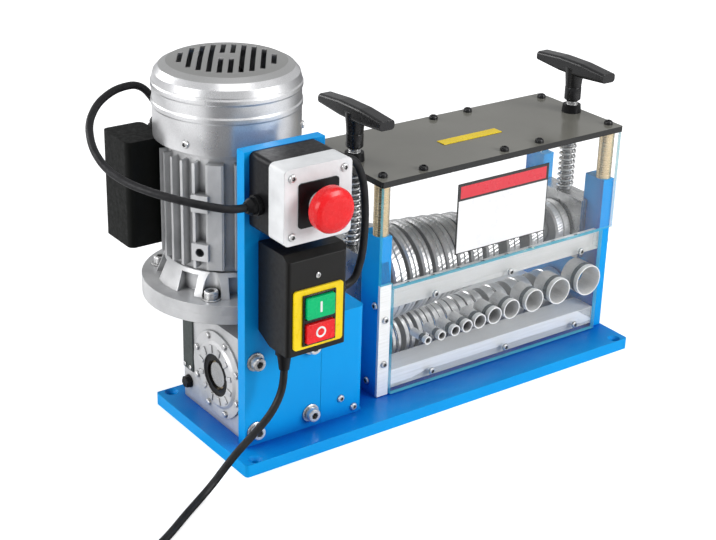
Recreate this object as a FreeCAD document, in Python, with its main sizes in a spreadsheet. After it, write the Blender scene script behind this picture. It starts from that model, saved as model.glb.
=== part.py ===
import FreeCAD, Part
import math
import os
import re

import Sketcher
from FreeCAD import Placement, Rotation, Vector

# Electric wire stripping machine: a vertical motor on a worm gearbox drives a head of ring blades
# and pressure rollers. Millimetres, +X along the head, -Y is the feeding side, +Z up.
# The origin is the centre of the base plate's underside.

# Driving dimensions of the base plate and the drive bracket.
SIZES = {
    "base_length": 470, "base_width": 164, "base_thick": 12, "base_corner": 3,
    "base_hole_radius": 3.5, "base_hole_inset_x": 13, "base_hole_inset_y": 7,
    "base_sink_radius": 6.5, "base_sink_depth": 3,
    "drive_x": -178, "bracket_width": 82, "bracket_front_y": -54, "bracket_sheet": 4,
    "bracket_top_z": 296, "bracket_flange": 11.5,
}

# Worm gearbox.
SIZES.update({
    "gear_foot": 50, "gear_height": 100, "gear_body_width": 71, "gear_back": 70, "gear_round": 9,
    "gear_cavity_side": 41, "gear_cavity_radius": 35, "gear_cover_radius": 42,
    "gear_cover_out": 4, "gear_cover_ring": 30, "gear_cover_step": 3, "gear_cover_lip": 3,
    "gear_cover_seat": 5, "foot_pitch_x": 46, "foot_pitch_y": 84, "foot_shift": 10,
    "gear_bolt_x": 60, "gear_bolt_z": 70, "gear_bolt_depth": 12, "foot_bolt_depth": 9,
    "bearing_set": 1, "worm_centre": 40, "worm_cavity_radius": 17, "worm_radius": 9.6,
    "worm_length": 44, "worm_end": 6, "tooth_gap": 0.3, "output_head_radius": 12,
    "output_head_thick": 2, "shaft_over": 2, "wheel_radius": 30, "wheel_width": 20,
    "wheel_notch": 1.6, "wheel_teeth": 30, "hollow_radius": 14, "hollow_length": 70,
    "output_radius": 9, "gear_neck_radius": 36, "gear_flange_low": 126, "gear_flange_thick": 9,
    "flange_radius": 80, "flange_bolt_circle": 65,
})

# Motor.
SIZES.update({
    "motor_flange_thick": 9, "shield_radius": 66, "shield_height": 22, "shield_wall": 7,
    "shield_top_out": 3, "shield_step": 2, "shield_pocket_in": 53, "shield_pocket_roof": 4,
    "wrench_room": 2, "bearing_boss": 5, "shaft_room": 3, "shaft_gap": 1, "end_web": 3,
    "shield_pocket": 18, "housing_high": 272, "housing_radius": 54, "housing_bore": 48,
    "fin_out": 62, "fin_thick": 3, "fin_count": 30, "fin_root": 2, "fin_low": 4, "fin_high": 3,
    "pad_side": 16, "pad_out": 3, "pad_root": 3, "pad_low": 13, "pad_pitch": 46,
    "pad_tap_depth": 8, "rail_wide": 13, "seat_wide": 20, "seat_low": 22, "seat_high": 70,
    "seat_inset": 10, "seat_inset_z": 8, "seat_root": 12, "terminal_stand": 2, "winding_gap": 1,
    "lug_root": 6, "lug_wide": 12, "lug_tall": 14, "cowl_screw_up": 8, "cowl_screw_in": 7,
    "stator_low": 180, "stator_high": 244, "stator_bore": 31, "winding_height": 14,
    "winding_wall": 13, "rotor_radius": 30.5, "motor_shaft_radius": 7, "motor_shaft_top": 330,
    "motor_bearing_radius": 17.5, "motor_bearing_width": 11, "end_shield_thick": 10,
    "cowl_radius": 66.5, "cowl_low": 279, "cowl_shoulder": 331, "cowl_top": 347,
    "cowl_top_radius": 46, "cowl_crown": 3, "cowl_wall": 2, "cowl_rib": 1, "cowl_rib_wide": 6.5,
    "cowl_rib_slope": 1.5, "cowl_rib_up": 28, "cowl_rib_down": 1, "grille_reach": 44,
    "grille_hub": 8, "grille_width": 4.6, "grille_pitch": 9.2, "fan_seat_radius": 5,
    "fan_disc_thick": 2, "fan_radius": 55, "fan_low": 300, "fan_high": 322, "fan_blades": 8,
    "fan_blade_thick": 2.2, "fan_hub_radius": 14, "capacitor_box_out": 70, "capacitor_box_y": 84,
    "capacitor_box_low": 178, "box_round": 6, "box_wall": 2.2, "capacitor_box_wide": 40,
    "capacitor_box_deep": 48, "capacitor_box_tall": 100, "capacitor_radius": 17,
    "capacitor_gap": 8, "terminal_box_wide": 62, "terminal_box_deep": 34, "terminal_box_low": 196,
    "terminal_box_tall": 66,
})

# Emergency stop, switch box and leads.
SIZES.update({
    "estop_x": -180, "estop_z": 261.5, "estop_side": 68, "estop_base_deep": 30,
    "estop_cover_deep": 23, "estop_round": 5, "estop_wall": 2.5, "estop_screw_pitch": 52,
    "legend_side": 40, "legend_thick": 1.5, "legend_round": 3, "stem_radius": 10,
    "stem_pin_radius": 6, "stem_pin_long": 4, "stem_step": 2, "stem_back": 8,
    "stem_hole_gap": 0.4, "mushroom_radius": 20, "mushroom_neck": 13, "mushroom_low": 9,
    "mushroom_deep": 19, "mushroom_recess": 1, "mushroom_flare": 6, "mushroom_edge_deep": 5.5,
    "mushroom_edge_wide": 10, "estop_travel": 5, "contact_side": 34, "contact_gap": 0.5,
    "switch_x": -174, "switch_low": 119, "switch_wide": 62, "switch_tall": 94, "switch_deep": 46,
    "switch_round": 4, "switch_wall": 2.4, "switch_slant": 9, "switch_foot_deep": 18,
    "switch_bevel_deep": 8, "switch_bevel_tall": 5, "switch_plate_wide": 51,
    "switch_plate_tall": 56, "switch_plate_low": 6, "switch_plate_thick": 2,
    "switch_plate_round": 3, "button_round": 1.5, "window_deep": 8, "contact_over": 12,
    "switch_contact_low": 12, "switch_contact_tall": 50, "button_wide": 29, "green_tall": 20,
    "red_tall": 18, "button_gap": 0.4, "green_low": 34.5, "red_low": 11.5, "button_out": 4,
    "button_travel": 3, "button_back": 6, "lead_radius": 3.5, "gland_radius": 7.5, "gland_nut": 9,
    "gland_nut_thick": 5, "gland_taper": 4, "gland_mouth": 1.5, "gland_length": 13,
    "lead_drop": 8, "terminal_gland_out": 26, "lead_run": 25, "coil_entry_run": 22, "cord_run": 13,
    "link_upper_z": 281, "link_lower_z": 160, "link_y": -76, "link_out": 24, "cord_exit_x": -196,
    "cord_exit_y": -82, "relief_length": 20, "relief_radius": 6.5, "relief_collar": 5,
    "relief_collar_out": 1.5, "relief_wall": 1.2, "relief_socket": 4, "coil_radius": 38.5,
    "coil_turns": 3, "coil_step": 8, "coil_leave": 9, "coil_x": -386, "coil_y": -188,
    "plug_wide": 26, "plug_tall": 22, "plug_long": 40, "pin_wide": 6.3, "pin_thick": 1.5,
    "pin_long": 17, "pin_pitch": 12.7,
})

# Stripping head: frames, bars, guards and top.
SIZES.update({
    "head_left_x": -64, "head_right_x": 234, "frame_thick": 14, "head_front_y": -41,
    "post_top_z": 178, "slot_half": 32, "slot_floor_z": 82, "block_low_z": 85,
    "upper_shaft_z": 112, "block_top_z": 150, "block_gap": 0.3, "block_flange": 8, "block_lip": 6,
    "plate_top_z": 235, "plate_thick": 6, "plate_over": 2, "pillar_radius": 7.5,
    "pillar_inset_y": 8.5, "bar_low_z": 103, "bar_tall": 20, "bar_deep": 8, "plate_round": 2,
    "plate_screw_inset": 4, "plate_screw_left": 50.7, "plate_screw_middle": 149,
    "plate_screw_right": 193.7, "sill_low_z": 17, "sill_tall": 19, "sill_deep": 27,
    "strip_thick": 3, "strip_over": 5, "strip_screw_z": 94, "strip_screw_low_z": 47,
    "panel_gap": 1, "guard_rise": 0.5, "panel_thick": 5, "panel_low_z": 13, "panel_high_z": 125,
    "guard_clear": 4, "bar_screw_x": 1, "bar_screw_pitch": 95, "sill_screw_z": 24.5,
    "bar_screw_z": 108, "sign_x": 80, "sign_low_z": 143, "sign_wide": 114, "sign_tall": 72,
    "sign_thick": 1, "screw_head_radius": 3.6, "screw_head_tall": 2.2, "screw_radius": 2,
    "screw_length": 8, "plate_screw_radius": 4.5, "plate_screw_tall": 4, "bolt_head_radius": 6.5,
    "bolt_head_tall": 8, "bolt_socket": 3, "bolt_radius": 4, "bolt_room": 0.5, "fit_gap": 0.05,
    "cut_over": 1,
})

# Spur gears, shafts, rollers, blades and the pressure screws.
SIZES.update({
    "spur_module": 1.5, "spur_teeth": 20, "spur_width": 16, "spur_x": -112, "spur_backlash": 0.2,
    "lower_shaft_offset": 18, "guard_gap": 0.3, "guard_right_x": -88, "guard_tall": 110,
    "guard_back_y": 60, "guard_sheet": 2, "guard_round": 7, "guard_block_long": 27,
    "guard_block_inset": 5, "guard_block_deep": 12, "guard_block_tall": 26, "guard_foot_wide": 14,
    "guard_pass_gap": 3, "guard_screw_in": 26, "guard_screw_out": 11, "guard_screw_high": 20,
    "guard_screw_low": 7, "lower_shaft_radius": 10, "journal_radius": 8.5, "journal_room": 2,
    "bearing_radius": 17.5, "bearing_width": 10, "bearing_recess": 1, "block_skin": 1,
    "block_web": 1, "seat_start": 2, "seat_play": 1, "shaft_inset": 3, "shaft_end_inset": 1,
    "core_gap": 1, "upper_core_radius": 14, "wheel_ring_radius": 21, "blade_radius": 22,
    "blade_thick": 3, "blade_bevel": 2, "blade_edge": 0.3, "ring_wide": 3, "ring_wide_rate": 1.7,
    "drum_left_x": -47, "drum_width": 25, "upper_drum_left_x": -36, "upper_drum_gap": 2,
    "upper_drum_lift": 5, "roller_chamfer": 2, "roller_groove": 1, "roller_wide": 8,
    "roller_wide_rate": 0.75, "roller_lift": 2, "cable_share": 1.6, "channel_start_x": -9,
    "feed_height_z": 58, "tube_radius_small": 4.2, "tube_radius_large": 16.5, "tube_wall": 1.2,
    "tube_front_y": -51, "tube_back_y": -27, "thread_radius": 6, "thread_low_z": 141.5,
    "thread_chamfer": 1, "bush_radius": 10, "bush_tall": 8, "bush_taper": 0.8, "bush_neck": 8,
    "hub_low_z": 262, "hub_radius": 9, "hub_taper": 0.9, "spindle_neck_radius": 4.5,
    "spindle_end": 4, "grip_z": 283, "grip_long": 98, "grip_tall": 15, "grip_wide": 17,
    "grip_end": 0.62, "grip_middle": 16, "grip_round": 3.5, "spring_wire": 1.1,
    "spring_mean": 7.8, "spring_turns": 13, "spring_gap": 0.3,
})

# Distances between neighbouring feed channels, from the narrow end of the head to the wide end.
for place_number, pitch in enumerate((17, 17, 15, 16, 19, 22, 30, 34, 40), start=1):
    SIZES[f"channel_pitch_{place_number}"] = pitch
CHANNELS = 10

# Places that follow from the driving dimensions.
BRACKET_BACK = "(bracket_front_y + bracket_sheet)"
GEAR_Y = f"({BRACKET_BACK} + gear_foot)"
GEAR_Z = "(base_thick + gear_height / 2)"
GEAR_TOP = "(base_thick + gear_height)"
MOTOR_Y = f"({GEAR_Y} + worm_centre)"
SPUR_CENTRE = "(spur_module * spur_teeth)"
LOWER_Y = f"({GEAR_Y} + lower_shaft_offset)"
LOWER_Z = f"({GEAR_Z} - sqrt({SPUR_CENTRE}^2 - lower_shaft_offset^2))"
FLANGE_MEET = "(gear_flange_low + gear_flange_thick)"
FLANGE_TOP = f"({FLANGE_MEET} + motor_flange_thick)"
FRAME_IN_LEFT = "(head_left_x + frame_thick)"
FRAME_IN_RIGHT = "(head_right_x - frame_thick)"
HEAD_BACK = f"(2 * {LOWER_Y} - head_front_y)"
PLATE_LOW = "(plate_top_z - plate_thick)"
BLOCK_X = ("(head_left_x + (frame_thick + block_flange) / 2)",
           "(head_right_x - (frame_thick + block_flange) / 2)")
GUARD_LEFT = "(drive_x + bracket_width / 2 + guard_gap)"
CAPACITOR_X = "(drive_x - capacitor_box_out)"
TERMINAL_LEAD_X = "(drive_x - terminal_gland_out)"
ESTOP_FRONT = "(bracket_front_y - estop_base_deep - estop_cover_deep)"
SWITCH_FRONT = "(bracket_front_y - switch_deep)"

doc = FreeCAD.newDocument("wire_stripping_machine")
sheet = doc.addObject("Spreadsheet::Sheet", "Sizes")
for row, (name, value) in enumerate(SIZES.items(), start=1):
    sheet.set(f"A{row}", name)
    sheet.set(f"B{row}", str(value))
    sheet.setAlias(f"B{row}", name)
doc.recompute()

parts = {}
TURN = {"x": Rotation(Vector(0, 1, 0), 90), "y": Rotation(Vector(1, 0, 0), -90), "z": Rotation()}


def bind(text):
    """Put the sheet's name before each size that an expression names."""
    return re.sub(r"[a-z][a-z_0-9]*",
                  lambda found: "Sizes." + found.group() if found.group() in SIZES else found.group(),
                  str(text))


def number(text):
    """The present value of an expression in the sheet's sizes."""
    return float(sheet.evalExpression(bind(text)))


def place(item, x="0", y="0", z="0"):
    """Bind where an item's own origin lies."""
    for axis, text in zip("xyz", (x, y, z)):
        item.setExpression("Placement.Base." + axis, bind(text))
    return item


def box(name, x, y, z):
    """A block between two expressions along each axis."""
    item = doc.addObject("Part::Box", name)
    for size, (low, high) in zip(("Length", "Width", "Height"), (x, y, z)):
        item.setExpression(size, bind(f"({high}) - ({low})"))
    return place(item, x[0], y[0], z[0])


def rod(name, axis, centre, span, radius, end_radius=None):
    """A cylinder, or a cone where an end radius is given, along an axis between two places."""
    item = doc.addObject("Part::Cone" if end_radius else "Part::Cylinder", name)
    item.Placement = Placement(Vector(), TURN[axis])
    if end_radius:
        item.setExpression("Radius1", bind(radius))
        item.setExpression("Radius2", bind(end_radius))
    else:
        item.setExpression("Radius", bind(radius))
    item.setExpression("Height", bind(f"({span[1]}) - ({span[0]})"))
    where = list(centre)
    where.insert("xyz".index(axis), span[0])
    return place(item, *where)


def fuse(name, *items):
    """One solid from several."""
    item = doc.addObject("Part::MultiFuse", name)
    item.Shapes = list(items)
    item.Refine = True
    return item


def cut(name, base, *tools):
    """A solid less its tools."""
    item = doc.addObject("Part::Cut", name)
    item.Base = base
    item.Tool = tools[0] if len(tools) == 1 else fuse(name + "_tools", *tools)
    return item


def group(name, *items):
    """Separate solids that share a node."""
    item = doc.addObject("Part::Compound", name)
    item.Links = list(items)
    return item


def feature(name, shape):
    """A shape that is built directly from the sheet's sizes."""
    item = doc.addObject("Part::Feature", name)
    item.Shape = shape
    return item


def node(label, item):
    """Name a finished sub-part."""
    item.Label = label
    parts[label] = item
    return item


def outline(body, role, points, shift="0"):
    """A closed sketch whose corners are bound to expressions."""
    plane = [item for item in body.Origin.OriginFeatures if item.Role == role][0]
    drawing = body.newObject("Sketcher::SketchObject", body.Name + "_outline")
    drawing.AttachmentSupport = [(plane, "")]
    drawing.MapMode = "FlatFace"
    drawing.setExpression("AttachmentOffset.Base.z", bind(shift))
    corners = [Vector(number(u), number(v), 0) for u, v in points]
    count = len(corners)
    drawing.addGeometry([Part.LineSegment(corners[k], corners[(k + 1) % count])
                         for k in range(count)], False)
    drawing.addConstraint([Sketcher.Constraint("Coincident", k, 2, (k + 1) % count, 1)
                           for k in range(count)])
    for k, point in enumerate(points):
        for kind, text, value in zip(("DistanceX", "DistanceY"), point, corners[k]):
            index = drawing.addConstraint(Sketcher.Constraint(kind, -1, 1, k, 1, value))
            drawing.setExpression(f"Constraints[{index}]", bind(text))
    return drawing


def pad(name, role, points, low, high):
    """A body padded from an outline on an origin plane, between two places along its normal."""
    body = doc.addObject("PartDesign::Body", name)
    shift = f"-({high})" if role == "XZ_Plane" else low
    drawing = outline(body, role, points, shift)
    padded = body.newObject("PartDesign::Pad", name + "_pad")
    padded.Profile = drawing
    padded.setExpression("Length", bind(f"({high}) - ({low})"))
    return body


def turned(name, axis, centre, points):
    """A body turned about an axis: each point is a place along the axis and a radius."""
    body = doc.addObject("PartDesign::Body", name)
    if axis == "x":
        drawing = outline(body, "XZ_Plane", points)
        place(body, "0", *centre)
    else:
        drawing = outline(body, "XZ_Plane" if axis == "z" else "XY_Plane", [(r, a) for a, r in points])
        place(body, centre[0], *((centre[1], "0") if axis == "z" else ("0", centre[1])))
    turning = body.newObject("PartDesign::Revolution", name + "_turned")
    turning.Profile = drawing
    turning.ReferenceAxis = (drawing, ["H_Axis" if axis == "x" else "V_Axis"])
    turning.Angle = 360
    return body


def rounded(body, radius, wanted):
    """Round the edges of a body that a test picks."""
    doc.recompute()
    last = body.Tip
    names = [f"Edge{k}" for k, edge in enumerate(last.Shape.Edges, start=1) if wanted(edge)]
    finish = body.newObject("PartDesign::Fillet", body.Name + "_round")
    finish.Base = (last, names)
    finish.setExpression("Radius", bind(radius))
    return body


def along(axis):
    """A test for straight edges that run along an axis."""
    def wanted(edge):
        if not isinstance(edge.Curve, Part.Line):
            return False
        return abs(abs(getattr(edge.tangentAt(edge.FirstParameter), axis)) - 1) < 1e-6
    return wanted


def rounded_box(name, x, y, z, radius, axis):
    """A block whose edges along one axis are rounded."""
    corners = [(x[0], y[0]), (x[1], y[0]), (x[1], y[1]), (x[0], y[1])]
    return rounded(pad(name, "XY_Plane", corners, *z), radius, along(axis))


def spoke(name, centre, angle, reach, width, z):
    """A block that points away from a vertical axis."""
    item = box(name, reach, ("0", width), z)
    item.Placement = Placement(Vector(), Rotation(Vector(0, 0, 1), angle))
    c, s = math.cos(math.radians(angle)), math.sin(math.radians(angle))
    return place(item, f"{centre[0]} + {c:.9f} * ({reach[0]}) + {s:.9f} * ({width}) / 2",
                 f"{centre[1]} + {s:.9f} * ({reach[0]}) - {c:.9f} * ({width}) / 2", z[0])


def radial(name, centre, angle, reach, radius, z):
    """A cylinder that points away from a vertical axis."""
    item = rod(name, "x", ("0", "0"), reach, radius)
    turn = Rotation(Vector(0, 0, 1), angle)
    item.Placement = Placement(Vector(), turn * TURN["x"])
    c, s = math.cos(math.radians(angle)), math.sin(math.radians(angle))
    return place(item, f"{centre[0]} + {c:.9f} * ({reach[0]})", f"{centre[1]} + {s:.9f} * ({reach[0]})", z)


def screw(name, axis, centre, seat, side, head=("screw_head_radius", "screw_head_tall"),
          shank=("screw_radius", "screw_length"), socket=None):
    """A screw whose head sits on a seat; side is the sign of the axis on which the head lies."""
    def span(start, length):
        ends = [f"({seat}) + ({start}) * {side}", f"({seat}) + ({start} + {length}) * {side}"]
        return ends if side > 0 else ends[::-1]
    def inward(length):
        ends = [f"({seat}) - ({length}) * {side}", f"({seat})"]
        return ends if side > 0 else ends[::-1]
    cap = rod(name + "_head", axis, centre, span("0", head[1]), head[0])
    stem = rod(name + "_shank", axis, centre, inward(shank[1]), shank[0])
    whole = fuse(name + "_whole", cap, stem)
    if not socket:
        return whole
    key = rod(name + "_socket", axis, centre, span(f"{head[1]} / 2", f"{head[1]}"), socket)
    return cut(name, whole, key)


def halves(centre, size):
    """The two ends of a size that lies evenly about a centre."""
    return f"({centre}) - ({size}) / 2", f"({centre}) + ({size}) / 2"


def biarc(start, start_way, end, end_way):
    """Two tangent arcs between two points with given directions."""
    across = end - start
    total = start_way + end_way
    spread = 2 * (1 - start_way.dot(end_way))
    lead = across.dot(total)
    if spread < 1e-9:
        reach = across.dot(across) / (2 * lead)
    else:
        reach = (-lead + math.sqrt(lead * lead + spread * across.dot(across))) / spread
    middle = (start + end) * 0.5 + (start_way - end_way) * (reach / 2)
    return [bend(start, start_way, middle), bend(end, end_way * -1, middle)]


def bend(start, way, end):
    """The arc from one point along a direction to another point."""
    chord = end - start
    unit = Vector(chord).normalize()
    side = way - unit * way.dot(unit)
    if side.Length < 1e-7:
        return Part.LineSegment(start, end).toShape()
    angle = way.getAngle(chord)
    top = start + chord * 0.5 + Vector(side).normalize() * (chord.Length / 2 * math.tan(angle / 2))
    return Part.Arc(start, top, end).toShape()


def tube(path_edges, start, way, radius):
    """A round tube along joined edges."""
    wire = Part.Wire(path_edges)
    ring = Part.Wire([Part.Circle(start, way, radius).toShape()])
    return wire.makePipeShell([ring], True, False)


# How much of the shorter run an arc of a cable's route takes.
ARC_SHARE = 0.45


def soft_path(points):
    """Straight runs joined by tangent arcs, with the radii that two runs allow."""
    edges, radii, here = [], [], points[0]
    for before, corner, after in zip(points, points[1:], points[2:]):
        entry, leave = Vector(corner - before), Vector(after - corner)
        shorter = min(entry.Length, leave.Length)
        entry.normalize()
        leave.normalize()
        turn = entry.getAngle(leave)
        setback = ARC_SHARE * shorter
        first, last = corner - entry * setback, corner + leave * setback
        radius = setback / math.tan(turn / 2)
        radii.append(radius)
        halfway = (first + last) * 0.5
        inner = Vector(halfway - corner).normalize()
        depth = radius / math.cos(turn / 2) - radius
        edges.append(Part.LineSegment(here, first).toShape())
        edges.append(Part.Arc(first, corner + inner * depth, last).toShape())
        here = last
    edges.append(Part.LineSegment(here, points[-1]).toShape())
    return edges, radii


def cable(name, points, radius):
    """A cable's tube along a route, with its arc radii and its volume checked and printed."""
    edges, radii = soft_path(points)
    way = Vector(points[1] - points[0]).normalize()
    solid = tube(edges, points[0], way, radius)
    length = sum(edge.Length for edge in edges)
    drift = solid.Volume / (math.pi * radius ** 2 * length) - 1
    print(f"{name}: length {length:.0f}, arc radii {min(radii):.1f} to {max(radii):.1f}, "
          f"volume off by {drift:.1e}")
    return solid


def least_gap(samples, skip, diameter):
    """The least gap between a wound tube's turns, from points along its middle."""
    near = min((a - b).Length for k, a in enumerate(samples) for b in samples[k + skip:])
    return near - diameter


# Base plate with a countersunk hole near each corner.
base = rounded_box("base_block", halves("0", "base_length"), halves("0", "base_width"),
                   ("0", "base_thick"), "base_corner", "z")
base_tools = []
BASE_HOLES = [(f"{i} * (base_length / 2 - base_hole_inset_x)",
               f"{j} * (base_width / 2 - base_hole_inset_y)") for i in (-1, 1) for j in (-1, 1)]
FOOT_HOLES = [(f"drive_x + {i} * foot_pitch_x / 2", f"{GEAR_Y} + foot_shift + {j} * foot_pitch_y / 2")
              for i in (-1, 1) for j in (-1, 1)]
FOOT_HOLES += [(x, f"{LOWER_Y} + {j} * foot_pitch_y / 2") for j in (-1, 1)
               for x in ("head_left_x + frame_thick / 2", "head_right_x - frame_thick / 2")]
through_base = ("-cut_over", "base_thick + cut_over")
for k, centre in enumerate(BASE_HOLES):
    base_tools.append(rod(f"base_hole_{k}", "z", centre, through_base, "base_hole_radius"))
    base_tools.append(rod(f"base_sink_{k}", "z", centre, ("base_thick - base_sink_depth", "base_thick"),
                          "base_hole_radius", "base_sink_radius"))
for k, centre in enumerate(FOOT_HOLES):
    base_tools.append(rod(f"foot_hole_{k}", "z", centre, through_base, "bolt_radius"))
    base_tools.append(rod(f"foot_bore_{k}", "z", centre, ("-cut_over", "bolt_head_tall + bolt_room"),
                          "bolt_head_radius + bolt_room"))
node("base_plate", cut("base_drilled", base, *base_tools))

# Drive bracket: one folded sheet with a return along its left side and its top.
bracket_x = halves("drive_x", "bracket_width")
bracket_y = ("bracket_front_y", BRACKET_BACK)
bracket_deep = ("bracket_front_y", "bracket_front_y + bracket_flange")
front_sheet = box("bracket_front", bracket_x, bracket_y, ("base_thick", "bracket_top_z"))
side_return = box("bracket_side", (bracket_x[0], f"{bracket_x[0]} + bracket_sheet"), bracket_deep,
                  ("base_thick", "bracket_top_z"))
top_return = box("bracket_top", bracket_x, bracket_deep,
                 ("bracket_top_z - bracket_sheet", "bracket_top_z"))
bracket = fuse("bracket_folded", front_sheet, side_return, top_return)
GEAR_BOLTS = [(f"drive_x + {i} * gear_bolt_x / 2", f"{GEAR_Z} + {j} * gear_bolt_z / 2")
              for i in (-1, 1) for j in (-1, 1)]
bracket_holes = [rod(f"bracket_hole_{k}", "y", centre, ("bracket_front_y - cut_over",
                     f"{BRACKET_BACK} + cut_over"), "bolt_radius") for k, centre in enumerate(GEAR_BOLTS)]
node("drive_bracket", cut("bracket_drilled", bracket, *bracket_holes))

# Worm gearbox: cast body with a cross bore for the wheel and an upright bore for the worm, and on
# it a second casting with a neck and the flange that the motor stands on.
MOTOR_AT = ("drive_x", MOTOR_Y)
gear_x = halves("drive_x", "gear_body_width")
gear_y = (BRACKET_BACK, f"{GEAR_Y} + gear_back")
casting = rounded_box("gear_block", gear_x, gear_y, ("base_thick", GEAR_TOP), "gear_round", "z")
gear_flange = fuse("gear_flange_cast",
                   rod("gear_neck", "z", MOTOR_AT, (GEAR_TOP, FLANGE_MEET), "gear_neck_radius"),
                   rod("gear_flange", "z", MOTOR_AT, ("gear_flange_low", FLANGE_MEET), "flange_radius"))
FLANGE_BOLTS = [(f"drive_x + {math.cos(math.radians(a)):.9f} * flange_bolt_circle",
                 f"{MOTOR_Y} + {math.sin(math.radians(a)):.9f} * flange_bolt_circle")
                for a in (45, 135, 225, 315)]
gear_tools = [
    rod("wheel_bore", "x", (GEAR_Y, GEAR_Z), (f"{gear_x[0]} - cut_over", f"{gear_x[1]} + cut_over"),
        "gear_cavity_radius"),
    rod("worm_bore", "z", MOTOR_AT, (f"{GEAR_Z} - gear_cavity_side", f"{GEAR_TOP} + cut_over"),
        "worm_cavity_radius"),
]
for k, centre in enumerate(GEAR_BOLTS):
    gear_tools.append(rod(f"gear_tap_{k}", "y", centre, (f"{BRACKET_BACK} - cut_over",
                          f"{BRACKET_BACK} + gear_bolt_depth + cut_over"), "bolt_radius"))
for k, centre in enumerate(FOOT_HOLES[:4]):
    gear_tools.append(rod(f"gear_foot_tap_{k}", "z", centre, ("base_thick - cut_over",
                          "base_thick + foot_bolt_depth"), "bolt_radius"))
flange_tools = [rod("neck_bore", "z", MOTOR_AT, (f"{GEAR_TOP} - cut_over", f"{FLANGE_MEET} + cut_over"),
                    "worm_cavity_radius")]
for k, centre in enumerate(FLANGE_BOLTS):
    flange_tools.append(rod(f"gear_flange_hole_{k}", "z", centre, ("gear_flange_low - cut_over",
                            f"{FLANGE_MEET} + cut_over"), "bolt_radius"))
node("gearbox_housing", group("gear_castings", cut("gear_bored", casting, *gear_tools),
                              cut("gear_flange_bored", gear_flange, *flange_tools)))


def gear_cover(name, side):
    """A round cover that closes one side of the wheel's bore and carries a bearing."""
    face = gear_x[0] if side < 0 else gear_x[1]
    def at(text):
        return f"{face} + {side} * ({text})"
    points = [(at("gear_cover_out"), "bearing_radius + gear_cover_lip"),
              (at("gear_cover_out"), "gear_cover_ring"),
              (at("gear_cover_out / 2"), "gear_cover_ring + gear_cover_step"),
              (at("gear_cover_out / 2"), "gear_cover_radius"),
              (at("0"), "gear_cover_radius"), (at("0"), "gear_cavity_radius - fit_gap"),
              (at("-bearing_width"), "gear_cavity_radius - fit_gap"),
              (at("-bearing_width"), "bearing_radius + gear_cover_seat"),
              (at("0"), "bearing_radius + gear_cover_seat"), (at("0"), "bearing_radius + gear_cover_lip")]
    return turned(name, "x", (GEAR_Y, GEAR_Z), points)


def bearing(name, axis, centre, low, high, inner, outer):
    """A ball bearing drawn as one ring, with the recess of its shield in each face."""
    middle = f"(({inner}) + ({outer})) / 2"
    edge = f"(({outer}) - ({inner})) / 5"
    points = [(low, inner), (high, inner), (high, f"{middle} - {edge}"),
              (f"{high} - bearing_recess", f"{middle} - {edge}"),
              (f"{high} - bearing_recess", f"{middle} + {edge}"),
              (high, f"{middle} + {edge}"), (high, outer), (low, outer),
              (low, f"{middle} + {edge}"), (f"{low} + bearing_recess", f"{middle} + {edge}"),
              (f"{low} + bearing_recess", f"{middle} - {edge}"), (low, f"{middle} - {edge}")]
    return turned(name, axis, centre, points)


node("gearbox_covers", group("gear_cover_pair", gear_cover("gear_cover_left", -1),
                             gear_cover("gear_cover_right", 1)))
# The cover's bearing seat lies between its inner collar and the hollow shaft.
GEAR_BEARING = ("hollow_radius + fit_gap", "bearing_radius + gear_cover_seat")
gear_bearings = [
    bearing("gear_bearing_left", "x", (GEAR_Y, GEAR_Z), f"{gear_x[0]} + bearing_set",
            f"{gear_x[0]} + bearing_width", *GEAR_BEARING),
    bearing("gear_bearing_right", "x", (GEAR_Y, GEAR_Z), f"{gear_x[1]} - bearing_width",
            f"{gear_x[1]} - bearing_set", *GEAR_BEARING),
]

# Worm wheel: a toothed rim on a hollow shaft. The teeth are shortened, so that they clear the worm.
wheel_x = halves("drive_x", "wheel_width")
hollow_x = halves("drive_x", "hollow_length")
wheel_rim = rod("wheel_rim", "x", (GEAR_Y, GEAR_Z), wheel_x, "wheel_radius - tooth_gap")
hollow = rod("wheel_hollow", "x", (GEAR_Y, GEAR_Z), hollow_x, "hollow_radius")
wheel_tools = [rod("wheel_through", "x", (GEAR_Y, GEAR_Z), (f"{hollow_x[0]} - cut_over",
                   f"{hollow_x[1]} + cut_over"), "output_radius + fit_gap")]
for k in range(int(number("wheel_teeth"))):
    angle = 2 * math.pi * k / number("wheel_teeth")
    c, s = math.cos(angle), math.sin(angle)
    wheel_tools.append(rod(f"wheel_gap_{k}", "x", (f"{GEAR_Y} + {c:.9f} * wheel_radius",
                       f"{GEAR_Z} + {s:.9f} * wheel_radius"),
                       (f"{wheel_x[0]} - cut_over", f"{wheel_x[1]} + cut_over"), "wheel_notch"))
node("worm_wheel", cut("wheel_cut", fuse("wheel_blank", wheel_rim, hollow), *wheel_tools))

# Output shaft: it runs from the hollow shaft to the spur gear, with a head at its left end.
spur_x = halves("spur_x", "spur_width")
node("output_shaft", turned("output_turned", "x", (GEAR_Y, GEAR_Z), [
    (f"{hollow_x[0]} - output_head_thick", "0"), (f"{spur_x[1]} + shaft_over", "0"),
    (f"{spur_x[1]} + shaft_over", "output_radius"), (f"{hollow_x[0]}", "output_radius"),
    (f"{hollow_x[0]}", "output_head_radius"),
    (f"{hollow_x[0]} - output_head_thick", "output_head_radius")]))

# Proportions that involute teeth share, and how finely their flanks are drawn.
PRESSURE_ANGLE = 20
TOOTH_FOOT = 1.25
FLANK_STEPS = 4


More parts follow.
